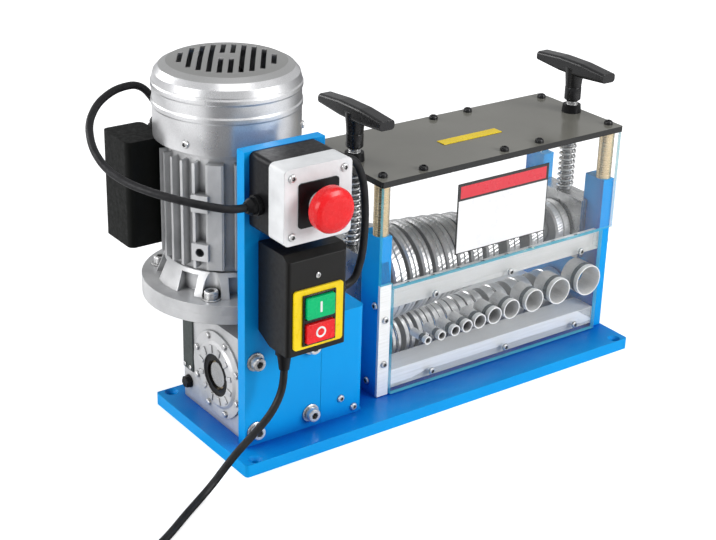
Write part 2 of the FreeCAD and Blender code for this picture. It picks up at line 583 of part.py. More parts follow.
def spur_gear(name, centre, bore, phase):
    """An involute spur gear as one solid, its teeth thinned by the backlash."""
    module, teeth = number("spur_module"), int(number("spur_teeth"))
    pitch_radius = module * teeth / 2
    base_radius = pitch_radius * math.cos(math.radians(PRESSURE_ANGLE))
    tip_radius, root_radius = pitch_radius + module, pitch_radius - TOOTH_FOOT * module
    half = (math.pi * module / 2 - number("spur_backlash")) / 2 / pitch_radius

    def flank(radius):
        """Half the angle that a tooth takes at a radius."""
        def unwound(distance):
            lean = math.acos(min(1.0, base_radius / distance))
            return math.tan(lean) - lean
        return half + unwound(pitch_radius) - unwound(max(radius, base_radius))

    def at(radius, angle):
        return Vector(number(spur_x[0]), radius * math.cos(angle), radius * math.sin(angle))

    edges = []
    radii = [root_radius] + [base_radius + (tip_radius - base_radius) * k / FLANK_STEPS
                             for k in range(FLANK_STEPS + 1)]
    for tooth in range(teeth):
        middle = phase + 2 * math.pi * tooth / teeth
        following = middle + 2 * math.pi / teeth
        rise = [at(r, middle - flank(r)) for r in radii]
        fall = [at(r, middle + flank(r)) for r in reversed(radii)]
        for points in (rise, fall):
            edges += [Part.LineSegment(a, b).toShape() for a, b in zip(points, points[1:])]
        edges.append(Part.Arc(rise[-1], at(tip_radius, middle), fall[0]).toShape())
        edges.append(Part.Arc(fall[-1], at(root_radius, (middle + following) / 2),
                              at(root_radius, following - flank(root_radius))).toShape())
    face = Part.Face(Part.Wire(Part.__sortEdges__(edges)))
    solid = face.extrude(Vector(number("spur_width"), 0, 0))
    hole = Part.makeCylinder(number(bore), number("spur_width + 2 * cut_over"),
                             Vector(number(spur_x[0]) - number("cut_over"), 0, 0), Vector(1, 0, 0))
    solid = solid.cut(hole)
    solid.translate(Vector(0, number(centre[0]), number(centre[1])))
    return feature(name, solid)


# The gears mesh along the line between their centres: a tooth of one faces a gap of the other.
mesh_line = math.atan2(number(LOWER_Z) - number(GEAR_Z), number(LOWER_Y) - number(GEAR_Y))
half_tooth = math.pi / number("spur_teeth")
node("output_gear", spur_gear("output_gear_cut", (GEAR_Y, GEAR_Z), "output_radius", mesh_line))
node("driven_gear", spur_gear("driven_gear_cut", (LOWER_Y, LOWER_Z), "journal_radius",
                              mesh_line + math.pi + half_tooth))

# Gear guard: a sheet cover that is open towards the gearbox and at its foot.
guard_x = (GUARD_LEFT, "guard_right_x")
guard_z = ("base_thick", "base_thick + guard_tall")
guard_outer = rounded_box("guard_outer", guard_x, ("bracket_front_y", "guard_back_y"), guard_z,
                          "guard_round", "z")
guard_square = box("guard_square", (GUARD_LEFT, f"{GUARD_LEFT} + guard_round + cut_over"),
                   ("bracket_front_y", "guard_back_y"), guard_z)
guard_inner = box("guard_inner", (f"{GUARD_LEFT} - cut_over", "guard_right_x - guard_sheet"),
                  ("bracket_front_y + guard_sheet", "guard_back_y - guard_sheet"),
                  ("base_thick - cut_over", "base_thick + guard_tall - guard_sheet"))
guard_block = box("guard_block", ("guard_right_x - guard_block_inset - guard_block_long",
                                  "guard_right_x - guard_block_inset"),
                  ("bracket_front_y + guard_sheet / 2", "bracket_front_y + guard_block_deep"),
                  ("base_thick", "base_thick + guard_block_tall"))
guard_foot = box("guard_foot", ("guard_right_x - guard_foot_wide", "guard_right_x - guard_sheet / 2"),
                 ("bracket_front_y + guard_sheet / 2", "guard_back_y - guard_sheet / 2"),
                 ("base_thick", "base_thick + guard_sheet"))
guard_pass = rod("guard_pass", "x", (LOWER_Y, LOWER_Z), ("guard_right_x - guard_sheet - cut_over",
                 "guard_right_x + cut_over"), "lower_shaft_radius + guard_pass_gap")
guard_shell = cut("guard_shell", fuse("guard_whole", guard_outer, guard_square), guard_inner,
                  guard_pass)
GUARD_SCREWS = [("guard_right_x - guard_screw_in", "base_thick + guard_screw_high"),
                ("guard_right_x - guard_screw_out", "base_thick + guard_screw_low")]
guard_taps = [rod(f"guard_tap_{k}", "y", centre, ("bracket_front_y - cut_over",
                  "bracket_front_y + screw_length"), "screw_radius")
              for k, centre in enumerate(GUARD_SCREWS)]
node("gear_guard", cut("guard_tapped", fuse("guard_solid", guard_shell, guard_block, guard_foot),
                       *guard_taps))

# Motor rotor: the shaft carries the worm below, the laminated core and the fan's seat above.
worm_z = (f"{GEAR_Z} - worm_length / 2", f"{GEAR_Z} + worm_length / 2")
core_z = ("stator_low", "stator_high")
motor_shaft = turned("motor_shaft", "z", MOTOR_AT, [
    (f"{worm_z[0]} - worm_end", "0"), ("motor_shaft_top", "0"), ("motor_shaft_top", "fan_seat_radius"),
    ("fan_low", "fan_seat_radius"), ("fan_low", "motor_shaft_radius"),
    (f"{worm_z[1]}", "motor_shaft_radius"), (f"{worm_z[1]}", "worm_radius"),
    (f"{worm_z[0]}", "worm_radius"), (f"{worm_z[0]}", "motor_shaft_radius"),
    (f"{worm_z[0]} - worm_end", "motor_shaft_radius")])
rotor_core = cut("rotor_core", rod("rotor_blank", "z", MOTOR_AT, core_z, "rotor_radius"),
                 rod("rotor_through", "z", MOTOR_AT, core_z, "motor_shaft_radius"))
node("motor_rotor", group("rotor_pair", motor_shaft, rotor_core))

# Cooling fan: a hub, a thin disc and upright blades.
fan_hub = rod("fan_hub", "z", MOTOR_AT, ("fan_low", "fan_high"), "fan_hub_radius")
fan_disc = rod("fan_disc", "z", MOTOR_AT, ("fan_low", "fan_low + fan_disc_thick"), "fan_radius")
fan_wings = [spoke(f"fan_wing_{k}", MOTOR_AT, 360 * k / number("fan_blades"),
                   ("fan_hub_radius - fan_blade_thick", "fan_radius - fan_blade_thick"),
                   "fan_blade_thick", ("fan_low", "fan_high"))
             for k in range(int(number("fan_blades")))]
fan_bore = rod("fan_bore", "z", MOTOR_AT, ("fan_low - cut_over", "fan_high + cut_over"),
               "fan_seat_radius")
node("cooling_fan", cut("fan_bored", fuse("fan_solid", fan_hub, fan_disc, *fan_wings), fan_bore))

# Lower end shield: a round mounting plate and a hollow bell with pockets between its arms.
SHIELD_POCKETS = 8
shield_top = f"({FLANGE_TOP} + shield_height)"
shaft_hole = "motor_shaft_radius + shaft_room"
plate_disc = turned("shield_plate", "z", MOTOR_AT, [
    (FLANGE_MEET, shaft_hole), (FLANGE_MEET, "flange_radius"),
    (FLANGE_TOP, "flange_radius"), (FLANGE_TOP, shaft_hole)])
plate_holes = [rod(f"shield_hole_{k}", "z", centre, (f"{FLANGE_MEET} - cut_over",
                   f"{FLANGE_TOP} + cut_over"), "bolt_radius") for k, centre in enumerate(FLANGE_BOLTS)]
bell = turned("shield_bell", "z", MOTOR_AT, [
    (FLANGE_TOP, "motor_bearing_radius"), (FLANGE_TOP, "shield_radius"),
    (shield_top, "housing_radius + shield_top_out"), (shield_top, "housing_bore - shield_step"),
    (f"{FLANGE_TOP} + shield_wall", "housing_bore - shield_step"),
    (f"{FLANGE_TOP} + shield_wall", "motor_bearing_radius + bearing_boss"),
    (f"{FLANGE_TOP} + motor_bearing_width", "motor_bearing_radius + bearing_boss"),
    (f"{FLANGE_TOP} + motor_bearing_width", "motor_bearing_radius")])
bell_tools = [spoke(f"shield_pocket_{k}", MOTOR_AT, 360 * (k + 0.5) / SHIELD_POCKETS,
                    ("shield_pocket_in", "flange_radius"), "shield_pocket",
                    (FLANGE_TOP, f"{shield_top} - shield_pocket_roof")) for k in range(SHIELD_POCKETS)]
bell_tools += [rod(f"shield_seat_{k}", "z", centre, (FLANGE_TOP, shield_top),
                   "bolt_head_radius + wrench_room") for k, centre in enumerate(FLANGE_BOLTS)]
node("motor_flange", group("shield_castings", cut("shield_plate_drilled", plate_disc, *plate_holes),
                           cut("shield_bell_cut", bell, *bell_tools)))

# Finned motor housing with four tapped foot pads, the rails beside them and the boxes' seats.
housing_z = (shield_top, "housing_high")
barrel = rod("housing_barrel", "z", MOTOR_AT, housing_z, "housing_radius")
fins = [spoke(f"housing_fin_{k}", MOTOR_AT, 360 * (k + 0.5) / number("fin_count"),
              ("housing_radius - fin_root", "fin_out"), "fin_thick",
              (f"{shield_top} + fin_low", "housing_high - fin_high"))
        for k in range(int(number("fin_count")))]
PAD_TURNS = (-144, -36)
RAIL_TURNS = (-132, -48)
pad_lows = [f"({shield_top} + pad_low + {j} * pad_pitch)" for j in (0, 1)]
PAD_PLACES = [(k, j, turn, low) for k, turn in enumerate(PAD_TURNS) for j, low in enumerate(pad_lows)]
pads = [spoke(f"housing_pad_{k}_{j}", MOTOR_AT, turn, ("housing_radius - pad_root", "fin_out + pad_out"),
              "pad_side", (low, f"{low} + pad_side")) for k, j, turn, low in PAD_PLACES]
pads += [spoke(f"housing_rail_{k}", MOTOR_AT, turn, ("housing_radius - pad_root", "fin_out"), "rail_wide",
               (f"{shield_top} + fin_low", "housing_high - fin_high")) for k, turn in enumerate(RAIL_TURNS)]
pad_taps = [radial(f"pad_tap_{k}_{j}", MOTOR_AT, turn, ("fin_out + pad_out - pad_tap_depth",
                   "fin_out + pad_out + cut_over"), "bolt_radius", f"{low} + pad_side / 2")
            for k, j, turn, low in PAD_PLACES]
box_x = halves(CAPACITOR_X, "capacitor_box_wide")
box_y = halves("capacitor_box_y", "capacitor_box_deep")
box_z = ("capacitor_box_low", "capacitor_box_low + capacitor_box_tall")
capacitor_seat = box("capacitor_seat", (box_x[1], "drive_x - housing_radius / 2"),
                     ("capacitor_box_y - seat_wide", "capacitor_box_y"),
                     ("capacitor_box_low + seat_low", "capacitor_box_low + seat_high"))
TERMINAL_FRONT = f"({MOTOR_Y} + fin_out + terminal_stand)"
terminal_y = (TERMINAL_FRONT, f"{TERMINAL_FRONT} + terminal_box_deep")
terminal_seat = box("terminal_seat", halves("drive_x", "terminal_box_wide - 2 * seat_inset"),
                    (f"{MOTOR_Y} + housing_radius - seat_root", terminal_y[0]),
                    ("terminal_box_low + seat_inset_z",
                     "terminal_box_low + terminal_box_tall - seat_inset_z"))
housing_open = (f"{shield_top} - cut_over", "housing_high + cut_over")
housing_bore = rod("housing_bored", "z", MOTOR_AT, housing_open, "housing_bore")
box_room = box("box_room", (f"{box_x[0]} - cut_over", box_x[1]),
               (f"{box_y[0]} - cut_over", f"{box_y[1]} + cut_over"), housing_open)
node("motor_housing", cut("housing_cut", fuse("housing_cast", barrel, *fins, *pads, capacitor_seat,
                                              terminal_seat), housing_bore, box_room, *pad_taps))

# Stator: a laminated core and a ring of copper at each end.
stator_core = cut("stator_core", rod("stator_blank", "z", MOTOR_AT, core_z, "housing_bore"),
                  rod("stator_through", "z", MOTOR_AT, core_z, "stator_bore"))
coil_ends = []
for k, (low, high) in enumerate((("stator_low - winding_height", "stator_low"),
                                 ("stator_high", "stator_high + winding_height"))):
    coil_ends.append(cut(f"winding_{k}",
                         rod(f"winding_blank_{k}", "z", MOTOR_AT, (low, high), "stator_bore + winding_wall"),
                         rod(f"winding_through_{k}", "z", MOTOR_AT, (low, high),
                             "stator_bore + winding_gap")))
node("stator", group("stator_group", stator_core, *coil_ends))

# Upper end shield: it carries the upper bearing and three lugs that the cowl is screwed to.
end_low = "housing_high"
end_high = "(housing_high + end_shield_thick)"
COWL_TURNS = (-34, 86, 206)
COWL_SCREW_Z = "(cowl_low + cowl_screw_up)"
cowl_inside = "cowl_radius - cowl_wall"
end_disc = turned("end_shield_disc", "z", MOTOR_AT, [
    (end_low, "motor_bearing_radius"), (end_low, "housing_radius"),
    (end_high, "housing_radius"), (end_high, "motor_shaft_radius + shaft_gap"),
    (f"{end_high} - end_web", "motor_shaft_radius + shaft_gap"),
    (f"{end_high} - end_web", "motor_bearing_radius")])
lug_bar = [spoke(f"end_lug_{k}", MOTOR_AT, turn, ("housing_radius - lug_root", "cowl_radius"), "lug_wide",
                 ("cowl_low", "cowl_low + lug_tall")) for k, turn in enumerate(COWL_TURNS)]
lug_limit = rod("lug_limit", "z", MOTOR_AT, (end_low, "cowl_low + lug_tall"), cowl_inside)
end_body = doc.addObject("Part::MultiCommon", "end_lugs_trimmed")
end_body.Shapes = [fuse("end_lugs", *lug_bar), lug_limit]
lug_taps = [radial(f"lug_tap_{k}", MOTOR_AT, turn, ("cowl_radius - cowl_screw_in - cut_over",
                   "cowl_radius"), "screw_radius", COWL_SCREW_Z) for k, turn in enumerate(COWL_TURNS)]
node("motor_end_shield", cut("end_shield_tapped", fuse("end_shield_whole", end_disc, end_body),
                             *lug_taps))

# Fan cowl: a turned shell with two ribs, a rounded shoulder and slots across its crown.
crown = "(cowl_top + cowl_crown)"
SHOULDER_STEPS = 4
GRILLE_TURN = 56
GRILLE_PAIRS = 5


def cowl_ring(low):
    """The four corners of a rib round the cowl."""
    out = "cowl_radius + cowl_rib"
    return [(low, "cowl_radius"), (f"{low} + cowl_rib_slope", out),
            (f"{low} + cowl_rib_wide - cowl_rib_slope", out), (f"{low} + cowl_rib_wide", "cowl_radius")]


def shoulder_line(inward):
    """The shoulder as a quarter of an ellipse, drawn in by a wall."""
    points = []
    for k in range(SHOULDER_STEPS + 1):
        c, s = (way(math.pi / 2 * k / SHOULDER_STEPS) for way in (math.cos, math.sin))
        points.append((f"cowl_shoulder + {s:.9f} * (cowl_top - cowl_shoulder - {inward})",
                       f"cowl_top_radius - {inward} + {c:.9f} * (cowl_radius - cowl_top_radius)"))
    return points


cowl_shell = turned("cowl_shell", "z", MOTOR_AT, [
    ("cowl_low", cowl_inside), ("cowl_low", "cowl_radius"), *cowl_ring("cowl_low + cowl_rib_up"),
    *cowl_ring("cowl_shoulder - cowl_rib_down - cowl_rib_wide"), *shoulder_line("0"), (crown, "0"),
    (f"{crown} - cowl_wall", "0"), *reversed(shoulder_line("cowl_wall"))])
grille = []
grille_c, grille_s = math.cos(math.radians(GRILLE_TURN)), math.sin(math.radians(GRILLE_TURN))
for k in range(2 * GRILLE_PAIRS):
    aside = f"({k + 0.5 - GRILLE_PAIRS} * grille_pitch)"
    middle = (f"{MOTOR_AT[0]} - {grille_s:.9f} * {aside}", f"{MOTOR_AT[1]} + {grille_c:.9f} * {aside}")
    reach = f"sqrt(grille_reach^2 - {aside}^2)"
    spans = [(f"-{reach}", reach)]
    if k in (GRILLE_PAIRS - 1, GRILLE_PAIRS):
        spans = [(f"-{reach}", "-grille_hub"), ("grille_hub", reach)]
    for j, span in enumerate(spans):
        grille.append(spoke(f"grille_slot_{k}_{j}", middle, GRILLE_TURN, span, "grille_width",
                            ("(cowl_shoulder + cowl_top) / 2", f"{crown} + cut_over")))
cowl_drill = [radial(f"cowl_drill_{k}", MOTOR_AT, turn, ("cowl_radius - cowl_wall - cut_over",
                     "cowl_radius + cut_over"), "screw_radius", COWL_SCREW_Z)
              for k, turn in enumerate(COWL_TURNS)]
node("fan_cowl", cut("cowl_slotted", cowl_shell, *grille, *cowl_drill))

# Capacitor box on the left of the motor and terminal box behind it.
capacitor_outer = rounded_box("capacitor_outer", box_x, box_y, box_z, "box_round", "z")
capacitor_inner = box("capacitor_inner", (f"{box_x[0]} + box_wall", f"{box_x[1]} - box_wall"),
                      (f"{box_y[0]} + box_wall", f"{box_y[1]} - box_wall"),
                      (f"{box_z[0]} + box_wall", f"{box_z[1]} - box_wall"))
capacitor_box = cut("capacitor_box", capacitor_outer, capacitor_inner)
terminal_x = halves("drive_x", "terminal_box_wide")
terminal_z = ("terminal_box_low", "terminal_box_low + terminal_box_tall")
terminal_outer = rounded_box("terminal_outer", terminal_x, terminal_y, terminal_z, "box_round", "z")
terminal_inner = box("terminal_inner", (f"{terminal_x[0]} + box_wall", f"{terminal_x[1]} - box_wall"),
                     (f"{terminal_y[0]} + box_wall", f"{terminal_y[1]} - box_wall"),
                     (f"{terminal_z[0]} + box_wall", f"{terminal_z[1]} - box_wall"))
node("motor_boxes", group("box_pair", capacitor_box, cut("terminal_box", terminal_outer,
                                                          terminal_inner)))
node("capacitor", rod("capacitor_can", "z", (CAPACITOR_X, "capacitor_box_y"),
                      (f"{box_z[0]} + box_wall", f"{box_z[1]} - box_wall - capacitor_gap"),
                      "capacitor_radius"))

# Emergency stop: base, cover, legend plate, stem, mushroom and contact block.
estop_x = halves("estop_x", "estop_side")
estop_z = halves("estop_z", "estop_side")
base_y = ("bracket_front_y - estop_base_deep", "bracket_front_y")
cover_y = (ESTOP_FRONT, base_y[0])
STOP_AT = ("estop_x", "estop_z")


def upright_box(name, x, y, z, radius):
    """A block whose edges along Y are rounded."""
    corners = [(x[0], z[0]), (x[1], z[0]), (x[1], z[1]), (x[0], z[1])]
    return rounded(pad(name, "XZ_Plane", corners, *y), radius, along("y"))


def inset(span, wall_size):
    """A span drawn in by a wall at both ends."""
    return f"{span[0]} + {wall_size}", f"{span[1]} - {wall_size}"


estop_inner = box("estop_inner", inset(estop_x, "estop_wall"), (f"{base_y[0]} - cut_over",
                  "bracket_front_y - estop_wall"), inset(estop_z, "estop_wall"))
node("estop_base", cut("estop_base_open", upright_box("estop_base_block", estop_x, base_y, estop_z,
                                                      "estop_round"), estop_inner))
cover_inner = box("cover_inner", inset(estop_x, "estop_wall"), (f"{ESTOP_FRONT} + estop_wall",
                  f"{base_y[0]} + cut_over"), inset(estop_z, "estop_wall"))
through_cover = (f"{ESTOP_FRONT} - cut_over", f"{ESTOP_FRONT} + estop_wall + cut_over")
cover_hole = rod("cover_hole", "y", STOP_AT, through_cover, "stem_radius + stem_hole_gap")
ESTOP_SCREWS = [(f"estop_x + {i} * estop_screw_pitch / 2", f"estop_z + {j} * estop_screw_pitch / 2")
                for i in (-1, 1) for j in (-1, 1)]
cover_drill = [rod(f"cover_drill_{k}", "y", centre, through_cover, "screw_radius")
               for k, centre in enumerate(ESTOP_SCREWS)]
node("estop_cover", cut("estop_cover_open", upright_box("estop_cover_block", estop_x, cover_y,
                        estop_z, "estop_round"), cover_inner, cover_hole, *cover_drill))
legend_y = (f"{ESTOP_FRONT} - legend_thick", ESTOP_FRONT)
legend_hole = rod("legend_hole", "y", STOP_AT, (f"{legend_y[0]} - cut_over",
                  f"{legend_y[1]} + cut_over"), "stem_radius + stem_hole_gap")
node("legend_plate", cut("legend_open", upright_box("legend_block", halves("estop_x", "legend_side"),
     legend_y, halves("estop_z", "legend_side"), "legend_round"), legend_hole))
stem_y = (f"{ESTOP_FRONT} - mushroom_low - stem_pin_long", f"{ESTOP_FRONT} + stem_back")
node("estop_stem", turned("stem_turned", "y", STOP_AT, [
    (stem_y[0], "0"), (stem_y[1], "0"), (stem_y[1], "stem_radius"),
    (f"{legend_y[0]} - stem_step", "stem_radius"), (f"{legend_y[0]} - stem_step", "stem_pin_radius"),
    (stem_y[0], "stem_pin_radius")]))
cap_back = f"({ESTOP_FRONT} - mushroom_low)"
cap_front = f"({cap_back} - mushroom_deep)"
CAP_STEPS = 3
cap_edge = []
for k in range(CAP_STEPS + 1):
    c, s = (way(math.pi / 2 * k / CAP_STEPS) for way in (math.cos, math.sin))
    cap_edge.append((f"{cap_front} + (1 - {s:.9f}) * mushroom_edge_deep",
                     f"mushroom_radius - (1 - {c:.9f}) * mushroom_edge_wide"))
node("estop_mushroom", turned("mushroom_turned", "y", STOP_AT, [
    (f"{stem_y[0]}", "0"), (f"{stem_y[0]}", "stem_pin_radius + fit_gap"),
    (f"{cap_back} + mushroom_recess", "stem_pin_radius + fit_gap"),
    (f"{cap_back} + mushroom_recess", "mushroom_neck"), (f"{cap_back} - mushroom_flare / 2", "mushroom_neck"),
    (f"{cap_back} - mushroom_flare", "mushroom_radius"), *cap_edge, (cap_front, "0")]))
contact_y = (f"{stem_y[1]} + estop_travel + contact_gap", "bracket_front_y - estop_wall")
estop_contact = box("estop_contact", halves("estop_x", "contact_side"), contact_y,
                    halves("estop_z", "contact_side"))

# Switch box: a housing with a slanted foot, a yellow plate with two windows and two buttons.
switch_x = halves("switch_x", "switch_wide")
switch_z = ("switch_low", "switch_low + switch_tall")
switch_y = (SWITCH_FRONT, "bracket_front_y")


def switch_shape(name, wall_size):
    """The switch box's outline seen from the side, drawn in by a wall."""
    corners = [(f"{SWITCH_FRONT} + {wall_size}", f"switch_low + {wall_size}"),
               ("bracket_front_y - switch_foot_deep", f"switch_low + {wall_size}"),
               (f"bracket_front_y - {wall_size}", f"switch_low + switch_slant + {wall_size}"),
               (f"bracket_front_y - {wall_size}", f"{switch_z[1]} - {wall_size}"),
               (f"{SWITCH_FRONT} + switch_bevel_deep", f"{switch_z[1]} - {wall_size}"),
               (f"{SWITCH_FRONT} + {wall_size}", f"{switch_z[1]} - switch_bevel_tall - {wall_size}")]
    return pad(name, "YZ_Plane", corners, *inset(switch_x, wall_size))


def upright_front(edge):
    """The upright edges at the front of the switch box."""
    return along("z")(edge) and edge.CenterOfMass.y < number(f"{SWITCH_FRONT} + switch_wall")


switch_outer = rounded(switch_shape("switch_outer", "0"), "switch_round", upright_front)
plate_low = "(switch_low + switch_plate_low)"
windows = []
for label, low, tall in (("green", "green_low", "green_tall"), ("red", "red_low", "red_tall")):
    windows.append(box(f"{label}_window", halves("switch_x", "button_wide + 2 * button_gap"),
                       (f"{SWITCH_FRONT} - switch_plate_thick - cut_over",
                        f"{SWITCH_FRONT} + window_deep"),
                       (f"switch_low + {low} - button_gap", f"switch_low + {low} + {tall} + button_gap")))
switch_windows = fuse("switch_windows", *windows)
node("switch_housing", cut("switch_open", switch_outer, switch_shape("switch_inner", "switch_wall"),
                           switch_windows))
node("switch_plate", cut("switch_plate_open", upright_box("switch_plate_block",
     halves("switch_x", "switch_plate_wide"), (f"{SWITCH_FRONT} - switch_plate_thick", SWITCH_FRONT),
     (plate_low, f"{plate_low} + switch_plate_tall"), "switch_plate_round"), switch_windows))
button_y = (f"{SWITCH_FRONT} - switch_plate_thick - button_out", f"{SWITCH_FRONT} + button_back")
for label, low, tall in (("start_button", "green_low", "green_tall"), ("stop_button", "red_low", "red_tall")):
    node(label, upright_box(label + "_block", halves("switch_x", "button_wide"), button_y,
                            (f"switch_low + {low}", f"switch_low + {low} + {tall}"), "button_round"))
switch_contact = box("switch_contact", halves("switch_x", "button_wide + contact_over"),
                     (f"{button_y[1]} + button_travel + contact_gap", "bracket_front_y - switch_wall"),
                     ("switch_low + switch_contact_low",
                      "switch_low + switch_contact_low + switch_contact_tall"))
node("contact_blocks", group("contact_pair", estop_contact, switch_contact))


def gland(name, axis, centre, seat, side):
    """A cable gland: a nut on the housing and a tapered cap with the cable's bore."""
    def at(text):
        return f"({seat}) + {side} * ({text})"
    return turned(name, axis, centre, [
        (at("0"), "lead_radius + fit_gap"), (at("0"), "gland_nut"), (at("gland_nut_thick"), "gland_nut"),
        (at("gland_nut_thick"), "gland_radius"), (at("gland_length - gland_taper"), "gland_radius"),
        (at("gland_length"), "lead_radius + gland_mouth"), (at("gland_length"), "lead_radius + fit_gap")])


# The switch box's slanted foot carries the supply cord's strain relief.
relief_end = "(switch_low - relief_length)"
relief = turned("cord_relief", "z", ("cord_exit_x", "cord_exit_y"), [
    ("switch_low", "0"), ("switch_low", "relief_radius + relief_collar_out"),
    ("switch_low - relief_collar", "relief_radius + relief_collar_out"),
    ("switch_low - relief_collar", "relief_radius"),
    (relief_end, "lead_radius + relief_wall"), (relief_end, "lead_radius + fit_gap"),
    (f"{relief_end} + relief_socket", "lead_radius + fit_gap"), (f"{relief_end} + relief_socket", "0")])
lead_y = "bracket_front_y - estop_base_deep / 2"
LEAD_START = (estop_x[0], lead_y, "estop_z - lead_drop")
glands = [
    gland("estop_gland", "x", LEAD_START[1:], estop_x[0], -1),
    gland("terminal_gland", "z", (TERMINAL_LEAD_X, f"{terminal_y[0]} + terminal_box_deep / 2"),
          terminal_z[1], 1),
    gland("link_upper_gland", "x", ("link_y", "link_upper_z"), estop_x[1], 1),
    gland("link_lower_gland", "x", ("link_y", "link_lower_z"), switch_x[1], 1),
    relief,
]
node("cable_glands", group("gland_group", *glands))


def spot(x, y, z):
    """A point from three expressions."""
    return Vector(number(x), number(y), number(z))


# Motor lead: from the emergency stop, in a wide loop round the capacitor box, to the terminal box.
start = spot(*LEAD_START)
finish = spot(TERMINAL_LEAD_X, f"{terminal_y[0]} + terminal_box_deep / 2", terminal_z[1])
lead_run = number("lead_run")
lead_route = [start, start - Vector(lead_run, 0, 0), Vector(-265, -53, 259), Vector(-287, -29, 264),
              Vector(-300, 1, 267), Vector(-304, 32, 271), Vector(-302, 60, 281),
              Vector(-292, 85, 294), Vector(-273, 104, 304), Vector(-248, 116, 310),
              Vector(-221, 121, 309), finish + Vector(0, 0, lead_run), finish]
motor_lead = feature("motor_lead_tube", cable("motor lead", lead_route, number("lead_radius")))

# Link lead between the emergency stop and the switch box, bowed out at their right.
link_route = [spot(estop_x[1], "link_y", "link_upper_z"),
              spot(f"{estop_x[1]} + link_out", "link_y", "link_upper_z"),
              spot(f"{estop_x[1]} + link_out + 11", "link_y", "link_upper_z - 23"),
              spot(f"{estop_x[1]} + link_out + 14", "link_y - 1", "link_upper_z - 60"),
              spot(f"{switch_x[1]} + link_out + 9", "link_y", "link_lower_z + 24"),
              spot(f"{switch_x[1]} + link_out", "link_y", "link_lower_z"),
              spot(switch_x[1], "link_y", "link_lower_z")]
link_lead = feature("link_lead_tube", cable("link lead", link_route, number("lead_radius")))
node("control_leads", group("lead_pair", motor_lead, link_lead))

# Supply cord: down from the strain relief, over the base plate's end and away along the floor.
floor_z = number("lead_radius")
coil_middle = spot("coil_x", "coil_y", "0")
coil_outer = number("coil_radius + coil_step * coil_turns / 2")
coil_start = coil_middle + Vector(2 * floor_z, coil_outer, floor_z)
cord_route = [spot("cord_exit_x", "cord_exit_y", f"{relief_end} + relief_socket"),
              spot("cord_exit_x", "cord_exit_y", f"{relief_end} - cord_run"),
              Vector(-202.5, -83, 69.5), Vector(-214, -84, 56), Vector(-229, -84, 44),
              Vector(-245, -84.5, 33), Vector(-259, -85, 21), Vector(-272, -86.5, 10),
              Vector(-288, -92, floor_z), Vector(-311, -107, floor_z), Vector(-335, -124, floor_z),
              coil_start + Vector(number("coil_entry_run"), 0, 0), coil_start]
cord_tube = cable("supply cord", cord_route, number("lead_radius"))
node("supply_cord", feature("supply_cord_tube", cord_tube))


# On the way out, each quarter turn lies a little wider than the one under it.
OUTWARD_STEP = 0.54
OUTWARD_START = 0.5
OUTWARD_LEAD = 1.2
# The tube's slope in the climbing turn, against that of an even climb.
CLIMB_SLOPE = 1.5
SAMPLES_PER_ARC = 6


def spiral():
    """Radius, height share and quarter of each point: in on the floor, up half a turn, and out."""
    step, quarters = number("coil_step"), int(number("coil_turns") * 4)
    points = [(coil_outer - step * k / 4, 0.0) for k in range(quarters + 1)]
    inner = points[-1][0]
    points += [(inner - step / 4, 0.5), (inner - step / 2, 1.0)]
    for k in range(1, quarters + 1):
        wide = min(OUTWARD_STEP * k - OUTWARD_START, (k + OUTWARD_LEAD) / 4)
        points.append((inner + step * wide, 1.0))
    return [(radius, climb, k) for k, (radius, climb) in enumerate(points)]


def winding(points):
    """Biarcs through the coil's quarter turns, with a straight run at both ends."""
    rise, run = number("coil_step"), 2 * floor_z
    places, ways = [], []
    for k, (radius, climb, quarter) in enumerate(points):
        angle = math.pi / 2 * (1 + quarter)
        out = Vector(math.cos(angle), math.sin(angle), 0)
        aside = number("coil_leave") if k == len(points) - 1 else 0
        places.append(coil_middle + out * (radius + aside) + Vector(0, 0, floor_z + rise * climb))
        way = Vector(-out.y, out.x, 0) * radius
        if 0 < k < len(points) - 1:
            before, after = points[k - 1], points[k + 1]
            if (after[0] - radius) * (radius - before[0]) > 0:
                way += out * ((after[0] - before[0]) / math.pi)
            if 0 < climb < 1:
                way += Vector(0, 0, CLIMB_SLOPE * rise * (after[1] - before[1]) / math.pi)
        ways.append(way.normalize())
    first, last = places[0] - ways[0] * run, places[-1] + ways[-1] * run
    edges = [Part.LineSegment(first, places[0]).toShape()]
    for a, b, way_a, way_b in zip(places, places[1:], ways, ways[1:]):
        edges += biarc(a, way_a, b, way_b)
    edges.append(Part.LineSegment(places[-1], last).toShape())
    samples = []
    for edge in edges[1:-1]:
        step = (edge.LastParameter - edge.FirstParameter) / SAMPLES_PER_ARC
        samples += [edge.valueAt(edge.FirstParameter + step * j) for j in range(SAMPLES_PER_ARC)]
    return edges, (first, ways[0]), (last, ways[-1]), samples


# Points that lie fewer samples apart than this belong to the same half turn.
NEXT_TURN = 4 * SAMPLES_PER_ARC
coil_edges, coil_begin, coil_end, coil_samples = winding(spiral())
coil_solid = tube(coil_edges, *coil_begin, number("lead_radius"))
coil_length = sum(edge.Length for edge in coil_edges)
print(f"supply coil: length {coil_length:.0f}, least gap "
      f"{least_gap(coil_samples, NEXT_TURN, 2 * number('lead_radius')):.2f}, valid {coil_solid.isValid()}")
node("supply_coil", feature("supply_coil_tube", coil_solid))

# Plug: a moulded body that leads on from the coil's last turn, with two flat pins and an earth pin.
plug_start, plug_way = coil_end
plug_turn = Rotation(Vector(1, 0, 0), plug_way)
plug_place = Placement(plug_start, plug_turn)
half_wide, half_tall = number("plug_wide") / 2, number("plug_tall") / 2


# Where the plug's sections lie along its body, and their shares of its full width.
PLUG_SECTIONS = ((0, 0.5), (0.35, 0.72), (0.7, 1), (1, 1))
PLUG_CORNER = 0.45


